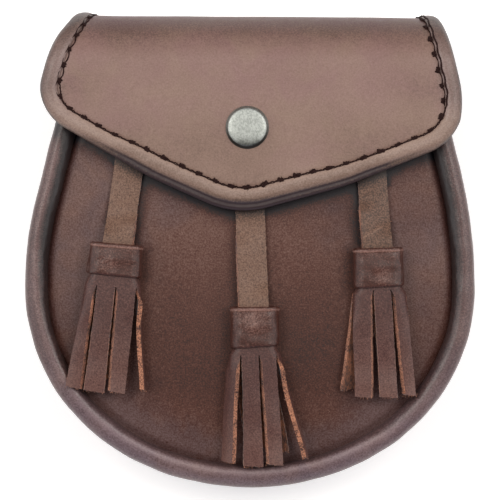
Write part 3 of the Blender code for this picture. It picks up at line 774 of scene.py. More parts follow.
flap_outline = rounded([(x * MM, up * MM, radius * MM) for _, x, up, radius in FLAP_CORNERS])
flap_outline = evenly(flap_outline + flap_outline[:1], OUTLINE_STEPS)[:-1]
flap_inwards = []
for i in range(OUTLINE_STEPS):
    along = flap_outline[(i + 4) % OUTLINE_STEPS] - flap_outline[i - 4]
    flap_inwards.append(Vector((-along.y, along.x, 0)).normalized())


def corner_step(name):
    """The step of the flap's outline that is nearest to this corner of its pattern."""
    x, up = next((x * MM, up * MM) for corner, x, up, _ in FLAP_CORNERS if corner == name)
    return min(range(OUTLINE_STEPS), key=lambda i: (flap_outline[i] - Vector((x, up, 0))).length)


turned_down = [smooth_step((inwards.y - 0.25) / 0.5) for inwards in flap_inwards]
EASE = 24  # steps of the outline over which a corner's change of width is spread, each way
eased_down = [
    sum(turned_down[(i + k) % OUTLINE_STEPS] for k in range(-EASE, EASE + 1)) / (2 * EASE + 1)
    for i in range(OUTLINE_STEPS)
]


def lower_share(step):
    """1 along the flap's lower edges, 0 along its sides."""
    return eased_down[step % OUTLINE_STEPS]


def seam_inset(step):
    """How far in from the flap's edge its border is sewn down: furthest at the tip."""
    spot = flap_outline[step]
    side = SEAM_LEFT if spot.x < 0 else SEAM_RIGHT
    start, run = SEAM_NARROWS["left" if spot.x < 0 else "right"]
    lower = SEAM_AT_TIP + (SEAM_BY_LOBES - SEAM_AT_TIP) * smooth_step((spot.x - start) / run)
    sewn = side + (lower - side) * lower_share(step)
    return sewn + (REAR_INSET - sewn) * smooth_step((spot.y - BORDER_ENDS_UP) / (8 * MM) + 0.5)


panel_outline = [
    flap_outline[i] + flap_inwards[i] * (seam_inset(i) - PANEL_PAST_SEAM) for i in range(OUTLINE_STEPS)
]
seam_line = [
    flap_outline[i] + flap_inwards[i] * seam_inset(i)
    for i in range(0, OUTLINE_STEPS, 2)
    if flap_outline[i].y < BORDER_ENDS_UP
]


def outline_side(first, last):
    """Even steps along one side of the flap's panel, from one named corner to another."""
    start, end = corner_step(first), corner_step(last)
    if end < start:
        end += OUTLINE_STEPS
    return evenly([panel_outline[i % OUTLINE_STEPS] for i in range(start, end + 1)], 400)


lower_side = outline_side("lobe_left", "lobe_right")
right_side = outline_side("lobe_right", "rear_right")
rear_side = outline_side("rear_right", "rear_left")[::-1]
left_side = outline_side("rear_left", "lobe_left")[::-1]


def read_along(side, share):
    """The point at this share of the way along a side."""
    place = share * (len(side) - 1)
    k = min(int(place), len(side) - 2)
    return side[k].lerp(side[k + 1], place - k)


def on_pattern(u, v):
    """A point of the flap's panel laid flat, between its four sides."""
    lower, rear = read_along(lower_side, u), read_along(rear_side, u)
    left, right = read_along(left_side, v), read_along(right_side, v)
    corners = (
        lower_side[0] * (1 - u) * (1 - v) + lower_side[-1] * u * (1 - v)
        + rear_side[0] * (1 - u) * v + rear_side[-1] * u * v
    )
    return lower * (1 - v) + rear * v + left * (1 - u) + right * u - corners


def finer_at_ends(t):
    """Even steps from 0 to 1, drawn closer together towards both ends."""
    return 0.35 * t + 0.65 * (0.5 - 0.5 * cos(pi * t))


def flap_face(p):
    """Height of the flap's outer face above mid leather, at a point of its flat pattern."""
    from_seam = 1.0  # m: far from it
    if p.y < BORDER_ENDS_UP + 10 * MM:
        from_seam = min((p - seam).length for seam in seam_line if abs(seam.y - p.y) < 12 * MM)
    dips = GROOVE_DEPTH * (1 - smooth_step(from_seam / GROOVE_WIDTH)) ** 1.3
    uneven = waves(p, 38 * MM, 0.28 * MM, 9.0) + waves(p, 12 * MM, 0.05 * MM, 1.7)
    return FLAP_LEATHER / 2 - dips + uneven * rise(from_seam, 0, 8)


def fold_painted_light(p):
    """Painted light: paler below the fold, and painted shade over the fold and up its sides."""
    painted_paler = 0.14 * rise(p.y, 22, 26)
    side_shade = 0.2 * rise(abs(p.x), 40, 42) * rise(p.y, 36, 16)
    side_shade *= 1 - rise(p.y - FOLD_BEGINS, -12, 16)
    return painted_paler - side_shade - 0.5 * rise(p.y - FOLD_BEGINS, -3, 27)


# Heavy bridle leather, curried with wax: lighter and greyer than the pouch, its dye cloudy.
flap_grain = grain_leather(
    "Waxed_bridle_leather_grain", "#4a2226", "#7e6559", "#9b8275", 0.44, relief=0.035 * MM, cloudiness=0.22,
    speckle=0.65, cool="#fbf1ff", gloss=0.36
)

flap = cut_strip("flap_leather", 1.0, 1.0, FLAP_ROWS, FLAP_ROWS)
bend(flap, lambda p: on_pattern(finer_at_ends(p.x + 0.5), finer_at_ends(p.y + 0.5)))


def flap_tone(p):
    """The fold's painted light and shade over the flap's face, which is paler still where a hand lifts it,
    right of its tip.
    """
    handled = 0.16 * smooth_step(1 - hypot(p.x - 22 * MM, 0.8 * (p.y - 15 * MM)) / (24 * MM))
    return fold_painted_light(p) + handled


set_tone(flap, flap_tone)
# wax bloom, and a painted cool sheen that grows towards the fold
set_tone(flap, lambda p: 0.3 * rise(p.y, 12, 45) - 0.2, "wax")
bend(flap, lambda p: fold_over(Vector((p.x, p.y, flap_face(p)))))
thicken(flap, FLAP_LEATHER, -1, flap_grain, flesh_side, cut_edge)
place_piece(flap, "flap_leather", "flap_panel")

flap_edge = [fold_over(p) for p in flap_outline if p.y < 50 * MM]


def under_flap(p, fade):
    """1 where the flap covers the pouch, falling to 0 this many mm below the flap's edge."""
    nearest = min(flap_edge, key=lambda edge: abs(edge.x - p.x))
    return 1 - smooth_step((nearest.y - p.y) / (fade * MM))


def flap_painted_shadow(p):
    """Painted shadow: how much darker the front panel is painted where the flap covers and shades it."""
    near = 0.75 - 0.25 * rise(abs(p.x), 52, 12)
    return near * under_flap(p, 5) + 0.22 * under_flap(p, 11)


# painted shadow where the flap covers and shades the pouch: the front panel darker and cooler, the front rim
# darker, most on the left
change_tone(front_panel, lambda p: 0.15 * under_flap(p, 12), "wax")
change_tone(front_panel, lambda p: -flap_painted_shadow(p))
change_tone(front_rim, lambda p: -(0.6 if p.x < 0 else 0.1) * under_flap(p, 12))


# ================================================================ flap border
# A soft cord runs inside the flap's edge under thinner leather, which is sewn down along the cord's
# inner side. Along the lower edges the backing stands out past the cord as a narrow flat lip.

BORDER_STEPS = 420
BORDER_FACES_ROUND = 57
BORDER_GIRTH = 20 * MM  # of the strip that is rolled up
# the tone of each section point is painted light: a painted highlight by the seam, painted shade in the
# crease, on the lip, round the outer edge and underneath
LOWER_SECTION = (
    # way in from the edge, height above mid leather, tone: along the flap's lower edges, in mm
    (9.15, -0.50, -0.20), (9.05, 0.50, -0.20), (8.60, 1.35, 0.28), (7.80, 1.95, 0.32), (6.70, 2.24, 0.14),
    (5.50, 2.24, 0.06), (4.45, 2.10, 0.04), (3.70, 1.84, 0.03), (3.15, 1.45, -0.12), (2.75, 1.05, -0.46),
    (2.35, 0.84, -0.58), (1.75, 0.80, -0.52), (1.05, 0.76, -0.45), (0.40, 0.42, -0.55), (0.00, -0.15, -0.70),
    (0.35, -0.90, -0.50), (1.50, -1.60, -0.30), (4.60, -1.95, -0.20), (7.90, -1.70, -0.20),
)
SIDE_SECTION = (
    # the same along the flap's sides
    (7.35, -0.50, -0.20), (7.25, 0.55, -0.25), (6.85, 1.35, 0.06), (6.20, 1.95, 0.10), (5.35, 2.32, 0.05),
    (4.45, 2.48, 0.00), (3.55, 2.48, -0.03), (2.75, 2.40, -0.06), (2.10, 2.22, -0.08), (1.55, 1.98, -0.12),
    (1.08, 1.64, -0.18), (0.68, 1.20, -0.22), (0.34, 0.72, -0.45), (0.10, 0.25, -0.60), (0.00, -0.20, -0.70),
    (0.25, -0.95, -0.50), (1.20, -1.60, -0.30), (3.60, -1.95, -0.20), (6.20, -1.70, -0.20),
)

LIP_ENDS = {"left": (72 * MM, 24 * MM), "right": (78 * MM, 30 * MM)}  # how far aside, and over what distance
SECTION_WIDTHS = (SIDE_SECTION[0][0] * MM, LOWER_SECTION[0][0] * MM)
border_from = corner_step("turn_left")
border_to = corner_step("turn_right")


def curve_through(points, turn):
    """A point of the smooth closed curve through points, turn running from 0 to 1 once round."""
    count = len(points)
    place = turn * count
    k = int(place) % count
    t = place - int(place)
    a, b, c, d = (Vector(points[(k + j) % count]) for j in (-1, 0, 1, 2))
    return 0.5 * (2 * b + (c - a) * t + (2 * a - 5 * b + 4 * c - d) * t * t + (3 * b - 3 * c + d - a) * t**3)


def border_section(outline_step, turn):
    """Way in from the edge, height above mid leather (both in m) and tone, at a turn round the border."""
    lower = curve_through(LOWER_SECTION, turn)
    side = curve_through(SIDE_SECTION, turn)
    x = flap_outline[outline_step % OUTLINE_STEPS].x
    ends, run = LIP_ENDS["left" if x < 0 else "right"]
    share = lower_share(outline_step) * smooth_step((ends - abs(x)) / run)
    section = side.lerp(lower, share)
    width = SECTION_WIDTHS[0] + (SECTION_WIDTHS[1] - SECTION_WIDTHS[0]) * share
    scale = (seam_inset(outline_step % OUTLINE_STEPS) + PANEL_PAST_SEAM) / width
    return section.x * MM * scale, section.y * MM, section.z


def outline_at(step):
    """The step of the flap's outline that lies at this step of the border."""
    return border_from + round((border_to - border_from) * step / BORDER_STEPS)


def on_border(step, turn):
    """The border's skin, puckered by its stitches and folded over with the flap."""
    i = outline_at(step)
    inwards, height, _ = border_section(i, turn)
    flat = flap_outline[i] + flap_inwards[i] * inwards
    puckers = waves(flat, 2.6 * MM, 0.10 * MM, 6.0) + waves(flat, 11 * MM, 0.16 * MM, 8.0)
    grip = rise(height, 0, 1.5)
    flat.z = height + puckers * grip
    return fold_over(flat)


border_grain = grain_leather(
    "Waxed_bridle_leather_border", "#2f2022", "#776054", "#a18a7e", 0.4, relief=0.035 * MM, cloudiness=0.2,
    speckle=0.8, cool="#f2f2ff"
)
flap_placed = [fold_over(p) for p in flap_outline]
border_length = line_length([flap_outline[outline_at(step)] for step in range(BORDER_STEPS + 1)])


def border_tone(step, turn):
    """Its section's painted light and the flap's own, a painted highlight under the lobes, where the cord
    stands proud, and painted shade on its outer side at the tip."""
    i = outline_at(step)
    spot = flap_outline[i % OUTLINE_STEPS]
    lobe_highlight = lower_share(i) * rise(abs(spot.x), 48, 14)
    inwards, _, tone = border_section(i, turn)
    tip_shade = smooth_step(1 - abs(spot.x + 2 * MM) / (30 * MM)) * rise(-inwards, -5.2, 1.5)
    return tone + fold_painted_light(spot) + 0.24 * lobe_highlight - 0.25 * tip_shade


border = roll_up(
    "flap_border_roll", border_length, BORDER_GIRTH, BORDER_STEPS, BORDER_FACES_ROUND, on_border, border_tone
)


def border_bloom_and_sheen(p):
    """More bloom and painted cool sheen up the sides and over the fold than along the lower edges."""
    nearest = min(range(0, OUTLINE_STEPS, 6), key=lambda i: (flap_placed[i] - p).length_squared)
    return 0.7 * rise(flap_outline[nearest].y, 22, 30) - 0.35


set_tone(border, border_bloom_and_sheen, "wax")
place_piece(border, "border_leather", "flap_border", look=border_grain)


# ================================================================ stitching of the flap
# The border is sewn down by hand with one waxed thread: at each hole the thread is knotted round
# itself. Along the left side two strands run from knot to knot, along the right side a second,
# thicker thread lies outside the knots, and along the lower edges the strands are drawn together.

KNOT_PITCH = 6.15 * MM
KNOT_PITCH_LOWER = 7.0 * MM
FIRST_KNOT = 2.0 * MM  # from the start of the seam
PAIR_APART = 0.95 * MM  # of each strand from the seam, along the left side
OUTER_THREAD_OUT = 1.0 * MM  # of the right side's outer thread from the seam
HALF_PITCH_STEPS = 6.0  # of the outline, about half the way from one knot to the next


def seam_spot(i, inwards):
    """A point of the flap's pattern this far in from its edge, at a step of its outline."""
    steps = (int(i) % OUTLINE_STEPS, (int(i) + 1) % OUTLINE_STEPS)
    before, after = (flap_outline[step] + flap_inwards[step] * inwards for step in steps)
    return before.lerp(after, i - int(i))


def flap_frame(flat, along):
    """The frame at a point near the flap: x along the direction on the pattern, z out of the leather."""
    origin = fold_over(flat)
    x_axis = (fold_over(flat + along * 0.1 * MM) - origin).normalized()
    z_axis = (fold_over(flat + Vector((0, 0, 0.1 * MM))) - origin).normalized()
    y_axis = z_axis.cross(x_axis).normalized()
    frame_there = Matrix((x_axis, y_axis, y_axis.cross(x_axis) * -1)).transposed().to_4x4()
    frame_there.translation = origin
    return frame_there


def knot(hand):
    """Slanted turns of thread, side by side along X, others laid over them, and a few broken fibres. The
    numbers are in mm, and hand is where the uneven ones are drawn from."""
    up = [Vector((0, 0, 1))] * 7
    turns = []
    for k in range(4):
        lean, reach, height = hand.uniform(-0.3, 0.6), hand.uniform(0.62, 1.0), hand.uniform(0.5, 0.85)
        x, y = (k - 1.5) * 0.66 + hand.uniform(-0.12, 0.12), hand.uniform(-0.1, 0.25)
        points = []
        for step in range(7):
            share = step / 3 - 1
            high = height * (1 - share * share) - 0.25
            points.append(Vector((x + lean * share * 0.7, y + reach * share, high)) * MM)
        turns.append(thread_along("turn", points, up, hand.uniform(0.34, 0.44) * MM))
    for k in range(2):
        slope, height, y = hand.uniform(-0.5, 0.5), hand.uniform(0.5, 0.8), (k - 0.5) * 0.7
        points = []
        for step in range(7):
            share = step / 3 - 1
            high = height * (1 - share**4) - 0.1
            points.append(Vector((share * hand.uniform(1.15, 1.35), y + slope * share, high)) * MM)
        turns.append(thread_along("turn", points, up, 0.34 * MM))
    for _ in range(5):
        angle = hand.uniform(0, 2 * pi)
        way = Vector((cos(angle), sin(angle), 0.0))
        reach = hand.uniform(0.9, 1.45)
        points = []
        for share in (0.45, 0.65, 0.85, 1):
            points.append((way * reach * share + Vector((0, 0, 0.55 + 0.25 * share * share))) * MM)
        turns.append(thread_along("fibre", points, up[:4], 0.09 * MM, around=4))
    return join_pieces("knot", turns)


hand = random.Random(11)
knots = []  # (step of the outline, x and up of the pattern, share of the lower edge)
travelled, last_spot, next_knot = 0.0, None, FIRST_KNOT
i = border_from + 3.0
while i < border_to - 3:
    spot = seam_spot(i, seam_inset(round(i) % OUTLINE_STEPS))
    travelled += (spot - last_spot).length if last_spot else 0.0
    if travelled >= next_knot:
        share = lower_share(round(i) % OUTLINE_STEPS)
        knots.append((i, spot, share))
        pitch = KNOT_PITCH + (KNOT_PITCH_LOWER - KNOT_PITCH) * share
        next_knot = travelled + pitch * (1 + hand.uniform(-0.07, 0.07) * (0.5 + share))
    last_spot = spot
    i += 0.5

KNOT_KINDS = 4
knot_frames = [[] for _ in range(KNOT_KINDS)]
for count, (i, spot, share) in enumerate(knots):
    step = round(i) % OUTLINE_STEPS
    along = Vector((flap_inwards[step].y, -flap_inwards[step].x, 0))
    right_side_share = (1 - share) if spot.x > 0 else 0.0
    flat = spot + flap_inwards[step] * (0.2 + 0.5 * right_side_share) * MM
    flat.z = 1.0 * MM
    size = hand.uniform(0.85, 1.1) * (1 + 0.08 * share)
    turn = hand.uniform(-0.4, 0.4) + (pi if hand.random() < 0.3 else 0.0)
    stretch = Matrix.Diagonal((size * (0.85 + 0.15 * share), size, size, 1))
    knot_frames[count % KNOT_KINDS].append(flap_frame(flat, along) @ stretch @ Matrix.Rotation(turn, 4, "Z"))
flap_knots = join_pieces(
    "flap_knots", [copies_of(knot(hand), "flap_knots", frames) for frames in knot_frames]
)


def seam_thread(name, start, stop, radius, offset, lift, twist):
    """A thread along the seam between two steps of the outline: offset(i) is its way in from the seam."""
    points, ups = [], []
    count = ceil((stop - start) * 0.9)
    for k in range(count + 1):
        i = start + (stop - start) * k / count
        step = round(i) % OUTLINE_STEPS
        flat = seam_spot(i, seam_inset(step) + offset(i))
        flat.z = lift(i)
        points.append(fold_over(flat))
        ups.append(fold_over(flat + Vector((0, 0, 0.1 * MM))) - points[-1])
    return thread_along(name, points, ups, radius, around=7, twist=twist)


def between_knots(i):
    """0 at a knot, 1 halfway to the next one."""
    nearest = min(abs(i - other) for other, _, _ in knots)
    return min(1.0, nearest / HALF_PITCH_STEPS)


left_end = max(i for i, spot, share in knots if spot.x < 0 and share < 0.4)
right_start = min(i for i, spot, share in knots if spot.x > 0 and share < 0.6)


def seam_lift(i):
    """Height of the threads above mid leather: they are drawn down at the knots."""
    return 0.78 * MM + 0.12 * MM * between_knots(i)


threads = [
    # the left side's two strands, the lower edges' two, and the right side's slack one and cord
    seam_thread(
        "strand_out", border_from + 2, left_end, 0.3 * MM,
        lambda i: -PAIR_APART * (0.5 + 0.5 * between_knots(i)), lambda i: seam_lift(i) + 0.75 * MM, 0.2,
    ),
    seam_thread(
        "strand_in", border_from + 2, left_end, 0.28 * MM, lambda i: PAIR_APART * between_knots(i),
        lambda i: seam_lift(i) + 0.35 * MM, 0.2,
    ),
    seam_thread(
        "strand_lower", left_end, right_start, 0.33 * MM, lambda i: (0.3 * sin(0.8 * i) - 0.1) * MM,
        lambda i: seam_lift(i) + 0.25 * MM, 0.25,
    ),
    seam_thread(
        "strand_beside", left_end, right_start, 0.27 * MM, lambda i: (0.1 - 0.35 * sin(0.8 * i)) * MM,
        lambda i: seam_lift(i) + 0.2 * MM, 0.25,
    ),
    seam_thread(
        "strand_right", right_start, border_to - 2, 0.22 * MM,
        lambda i: 0.65 * MM - 0.9 * MM * between_knots(i), lambda i: seam_lift(i) + 0.4 * MM, 0.2,
    ),
    seam_thread(
        "cord_right", right_start, border_to - 2, 0.38 * MM,
        lambda i: -(OUTER_THREAD_OUT + 0.22 * MM * sin(0.43 * i)) * smooth_step((i - right_start) / 26),
        lambda i: 0.95 * MM + 1.15 * MM * smooth_step((i - right_start) / 26), 0.25,
    ),
]
flap_stitching = join_pieces("flap_stitching", threads + [flap_knots])
place_piece(flap_stitching, "border_leather", look=thread_look)

# The flap's rear end is sewn to the back panel with two rows of plain stitches.
REAR_MIDDLE_X = 0.7 * MM
REAR_ROWS_UP = (143.0 * MM, 139.2 * MM)
rear_frames = []
for row_up in REAR_ROWS_UP:
    for k in range(-15, 16):
        flat = Vector((REAR_MIDDLE_X + k * STITCH_PITCH, row_up, FLAP_LEATHER / 2 - 0.05 * MM))
        rear_frames.append(flap_frame(flat, Vector((1, 0, 0))))
rear_stitches = copies_of(plain_stitch(), "flap_rear_stitches", rear_frames)
place_piece(rear_stitches, "flap_leather", look=thread_look)


# ================================================================ snap
# The press stud's cap is drawn from sheet brass, nickel-plated, brushed and darkened, and riveted
# through the flap into its socket. The stud it snaps on to stands on the front panel.

SNAP_X = -1.1 * MM
SNAP_Y = 48.5 * MM
CAP_STEPS = 96
STUD_STEPS = 64
snap_up = FOLD_BEGINS - (FOLD_Y + FOLD_RADIUS * sin(FLAP_TILT) - SNAP_Y) / cos(FLAP_TILT)
snap_seat = Matrix.Translation(fold_over(Vector((SNAP_X, snap_up, 0)))) @ Matrix.Rotation(-FLAP_TILT, 4, "X")
CAP_PROFILE = (
    # radius and height above mid leather of the cap, its post and its socket, in mm
    (0.0, 3.28), (1.6, 3.28), (3.2, 3.26), (4.6, 3.23), (5.7, 3.19), (6.6, 3.12), (7.1, 3.04), (7.45, 2.92),
    (7.68, 2.74), (7.84, 2.48), (8.05, 2.08), (8.3, 1.78), (8.5, 1.64), (8.54, 1.5), (8.4, 1.38), (7.9, 1.32),
    (2.0, 1.32), (2.0, -1.6), (6.0, -1.6),
    (6.0, -3.5), (5.7, -3.8), (3.2, -3.8), (3.0, -3.6), (3.0, -2.1), (0.0, -2.1),
)
STUD_PROFILE = (
    # radius and height above its foot of the stud, in mm
    (0.0, 3.1), (1.9, 3.1), (2.35, 2.95), (2.5, 2.55), (2.5, 2.1), (2.0, 1.5), (1.9, 0.95), (2.3, 0.8),
    (5.6, 0.8), (6.0, 0.5), (6.0, 0.0), (0.0, 0.0),
)


def spun(name, profile, steps):
    """A turned piece: its half profile drawn by extruding a point, then spun about Z."""
    bpy.ops.mesh.primitive_plane_add(size=1 * MM)
    piece = bpy.context.object
    piece.name = name
    bpy.ops.object.mode_set(mode="EDIT")
    bpy.ops.mesh.select_all(action="SELECT")
    bpy.ops.mesh.merge(type="CENTER")
    bpy.ops.transform.translate(value=(profile[0][0] * MM, 0, profile[0][1] * MM))
    for before, after in zip(profile, profile[1:]):
        step = ((after[0] - before[0]) * MM, 0, (after[1] - before[1]) * MM)
        bpy.ops.mesh.extrude_vertices_move(TRANSFORM_OT_translate={"value": step})
    bpy.ops.mesh.select_all(action="SELECT")
    bpy.ops.mesh.spin(steps=steps, angle=2 * pi, center=(0, 0, 0), axis=(0, 0, 1))
    bpy.ops.mesh.select_all(action="SELECT")
    bpy.ops.mesh.remove_doubles(threshold=0.002 * MM)
    bpy.ops.mesh.normals_make_consistent(inside=False)
    bpy.ops.object.mode_set(mode="OBJECT")
    return piece


def brushed_nickel(name):
    """Nickel plate, satin-brushed and then darkened: fine scratches catch the light every way, and the dark
    oxide stays in the pits. Where the attribute tone is high, dirt and painted shade darken it. The
    scratches, really 0.05 mm apart, are drawn 0.3 mm apart."""
    made, tree, shader, place = new_material(name, 0.45, Metallic=1.0)
    scratches = add_node(tree, "Mapping", {"Scale": (1.0, 0.12, 1.0)}, {"Vector": place})
    fine = {"Scale": 1 / (0.3 * MM), "Detail": 4.0, "Roughness": 0.7}
    lines = add_node(tree, "TexNoise", fine, {"Vector": scratches})
    mottled = {"Scale": 1 / (0.8 * MM), "Detail": 5.0, "Roughness": 0.7}
    stains = add_node(tree, "TexNoise", mottled, {"Vector": place})
    oxide = add_node(tree, "MapRange", {"From Min": 0.4, "From Max": 0.62}, {"Value": stains})
    greys = {"data_type": "RGBA", 6: linear("#acb0ac"), 7: linear("#8c908c")}
    stained = add_node(tree, "Mix", greys, {0: oxide})
    # dirt and painted shade, from the attribute tone
    grime_and_shade = add_node(tree, "Attribute", {"attribute_name": "tone"})
    under_grime_and_shade = {0: grime_and_shade.outputs["Fac"], 6: stained.outputs[2]}
    colour = add_node(tree, "Mix", {"data_type": "RGBA", 7: linear("#454541")}, under_grime_and_shade)
    brushed = {"From Min": 0.3, "From Max": 0.7, "To Min": 0.4, "To Max": 0.5}
    dull = add_node(tree, "MapRange", brushed, {"Value": lines})
    tree.links.new(dull.outputs["Result"], shader.inputs["Roughness"])
    colour_and_relief(tree, shader, colour, lines, 0.01 * MM)
    return made


nickel = brushed_nickel("Brushed_antique_nickel")
snap_cap = spun("snap_cap_turned", CAP_PROFILE, CAP_STEPS)


def cap_grime_and_shade(p):
    """Dirt round the cap's edge and in a patch on its lower side, with painted shade and a painted dark
    reflection, much more on the lower side.
    """
    lower_side = rise(-p.y, -5, 11)
    edge = (0.15 + 0.85 * lower_side) * rise(hypot(p.x, p.y - 0.35 * MM), 7.65, 0.35)
    patch = rise(-p.y, 2.6, 4.6) * (1 - rise(abs(p.x - 0.5 * MM), 3, 4))
    mottled = 0.75 + waves(p, 0.7 * MM, 0.5)
    return max(edge, min(1.0, 0.95 * patch * mottled))


set_tone(snap_cap, cap_grime_and_shade)
snap_cap.data.transform(snap_seat)
place_piece(snap_cap, "aged_nickel", "snap_cap", look=nickel)

snap_stud = spun("snap_stud_turned", STUD_PROFILE, STUD_STEPS)
stud_foot = Vector((SNAP_X, SNAP_Y, front_panel_z(SNAP_X, SNAP_Y) + 0.05 * MM))
snap_stud.data.transform(Matrix.Translation(stud_foot) @ Matrix.Rotation(-FLAP_TILT, 4, "X"))
place_piece(snap_stud, "aged_nickel", "snap_stud", look=nickel)


# ================================================================ tassel straps
# Three straps of the flap's leather, 2 mm thick and knife-cut, come out from under the flap and rise
# into their tassels' heads. Their edges were left raw: orange-brown fibre, frayed where it rubs.

STRAP_WIDTH = 11.6 * MM
STRAP_LEATHER = 2 * MM
STRAP_TUCK = 14 * MM  # length of strap hidden under the flap
STRAP_RISE = 11 * MM  # length over which a strap rises to the middle of its tassel
STRAP_TILT = 3.0 * MM  # how far the edge that shows is lifted off the pouch
STRAP_SLANT = 0.62 * MM  # how far that edge was cut aslant
CREASE_RAISED = 0.2 * MM
CREASE_FROM, CREASE_ALONG = Vector((45.5, 5.2)) * MM, Vector((0.86, 0.51))  # its start and its direction
STRAP_TONES = {"left": 0.03, "middle": 0.05, "right": -0.12}  # the right one is darker
HEAD_FLAT = {"left": (11.6, 13.2), "middle": (9.9, 10.2), "right": (10.6, 11.6)}  # at its top and foot, in mm
HEAD_END_RADIUS = 2.3 * MM  # to the middle of the fringe's leather
FRINGE_LEATHER = 1.8 * MM
BAND_LEATHER = 1.2 * MM
PIECES_APART = 0.3 * MM
STRAP_FACE = 0.5 * MM  # length of a strap's faces
TASSELS = (
    # name, band's middle x, y, its height, strap at the flap x, y, strap at the band x, y, in mm, the
    # tassel's lean in degrees, the side on which the strap's cut edge shows and from where down it does
    ("left", -53.4, -3.8, 12.8, -48.7, 30.4, -52.6, 2.6, -5.0, 1, 0.62),
    ("middle", 1.9, -30.4, 16.0, 0.0, 16.2, 1.6, -22.0, 0.5, -1, 0.3),
    ("right", 51.0, -6.9, 15.6, 48.8, 26.6, 50.7, 1.9, 1.5, -1, 0.35),
)
strap_grain = grain_leather(
    "Raw_edged_strap_grain", "#2c1f1b", "#6a4d3e", "#8a6d5c", 0.5, relief=0.08 * MM, cloudiness=0.15,
    speckle=1.6, gloss=0.4
)
raw_edge = raw_leather("Knife_cut_edge_fibre", "#3a201a", "#b57a5d", (1, 1, 1))


def head_middle_z(x, y):
    """Height of the middle of a tassel's head that rests on the front panel."""
    return front_panel_z(x, y) + 3 * PIECES_APART + HEAD_END_RADIUS + FRINGE_LEATHER / 2 + BAND_LEATHER


def strap_crease(name, p):
    """1 on the crest of the slanting crease that the right strap has near its band, 0 beside it."""
    if name != "right":
        return 0.0
    out = p.xy - CREASE_FROM
    beside = abs(out.x * CREASE_ALONG.y - out.y * CREASE_ALONG.x)
    reached = out.dot(CREASE_ALONG)
    return smooth_step(1 - beside / (0.6 * MM)) * rise(-reached, -9.5, 3)


def strap_place(tassel, p):
    """The strap's place for a point of it laid flat, x down the strap from the flap and y to its right."""
    name, x, y, _, exit_x, exit_y, band_x, band_y, _, shown_side, shown_from = tassel
    start, end = Vector((exit_x, exit_y, 0)) * MM, Vector((band_x, band_y, 0)) * MM
    down = (end - start).normalized()
    across = Vector((-down.y, down.x, 0))
    run = (end - start).length
    at_edge = smooth_step((shown_side * p.y / (STRAP_WIDTH / 2) - 0.55) / 0.45)
    shown = smooth_step((p.x / run - shown_from) / 0.3 + 0.5)
    slant = STRAP_SLANT * at_edge * shown * smooth_step(0.5 - p.z / STRAP_LEATHER)
    ragged = waves(p, 1.3 * MM, 0.22 * MM, 2.4) * smooth_step(abs(p.y) / (STRAP_WIDTH / 2) * 4 - 3)
    place = start + down * p.x + across * (p.y + shown_side * slant + ragged)
    on_panel = front_panel_z(place.x, place.y) + PIECES_APART + STRAP_LEATHER / 2
    share = smooth_step((p.x - run + 0.5 * MM + STRAP_RISE) / STRAP_RISE)
    curl = 0.25 * MM * (1 - (2 * p.y / STRAP_WIDTH) ** 2)
    curl += waves(Vector((p.x, p.y * 0.6, x)), 8 * MM, 0.22 * MM, 4.2)
    middle = on_panel + (head_middle_z(x * MM, y * MM) - on_panel) * share
    tilt = STRAP_TILT * (0.5 + shown_side * p.y / STRAP_WIDTH) * shown * (1 - share)
    creased = CREASE_RAISED * strap_crease(name, place)
    return Vector((place.x, place.y, middle + curl + tilt + creased + p.z))


for tassel in TASSELS:
    name, _, _, _, exit_x, exit_y, band_x, band_y = tassel[:8]
    run = hypot(band_x - exit_x, band_y - exit_y) * MM + 0.55 * STRAP_RISE
    length = run + STRAP_TUCK
    strap = cut_strip("strap_" + name, length, STRAP_WIDTH, ceil(length / STRAP_FACE), 16)
    bend(strap, lambda p: Vector((p.x + run - length / 2, p.y, 0)))
    thicken(strap, STRAP_LEATHER, 0, strap_grain, flesh_side, raw_edge)
    bend(strap, lambda p: strap_place(tassel, p))
    # painted shadow where the flap's edge shades each strap
    set_tone(strap, lambda p: STRAP_TONES[name] - 0.5 * under_flap(p, 5) + 0.4 * strap_crease(name, p))
    place_piece(strap, "strap_leather", "tassel_strap_" + name)


SHADED_BESIDE = {"left": 0.8, "middle": 0.25, "right": 0.9}  # painted shadow on the panel, beside each strap's lifted edge


def beside_tassel(tassel, p):
    """1 close beside a strap's lifted edge, half that beside its tassel's head, 0 from 5 mm away and below
    the head."""
    _, _, _, band_height, exit_x, exit_y, band_x, band_y, _, shown_side, _ = tassel
    share = (exit_y * MM - p.y) / ((exit_y - band_y) * MM)
    middle_x = (exit_x + (band_x - exit_x) * min(max(share, 0.0), 1.0)) * MM
    beside_head = smooth_step((band_y * MM + 1 * MM - p.y) / (2 * MM))
    beyond = shown_side * (p.x - middle_x) - STRAP_WIDTH / 2 - 4.5 * MM * beside_head
    if beyond < -STRAP_WIDTH:
        return 0.0
    below_head = smooth_step(((band_y - band_height) * MM - p.y) / (8 * MM))
    return (1 - rise(beyond, 1, 4)) * (1 - 0.5 * beside_head) * (1 - below_head)


def tassel_shade(p):
    """Painted shadow: how much deeper the front panel is painted beside the tassel that is nearest."""
    return 0.7 * max(SHADED_BESIDE[tassel[0]] * beside_tassel(tassel, p) for tassel in TASSELS)


change_tone(front_panel, lambda p: -tassel_shade(p))


# ================================================================ tassel fringes
# A strip of soft leather, 1.8 mm, is wound once round the end of the strap and cut into strands below
# the head. They hang side by side in front; those at the ends have twisted round on their raw edges.

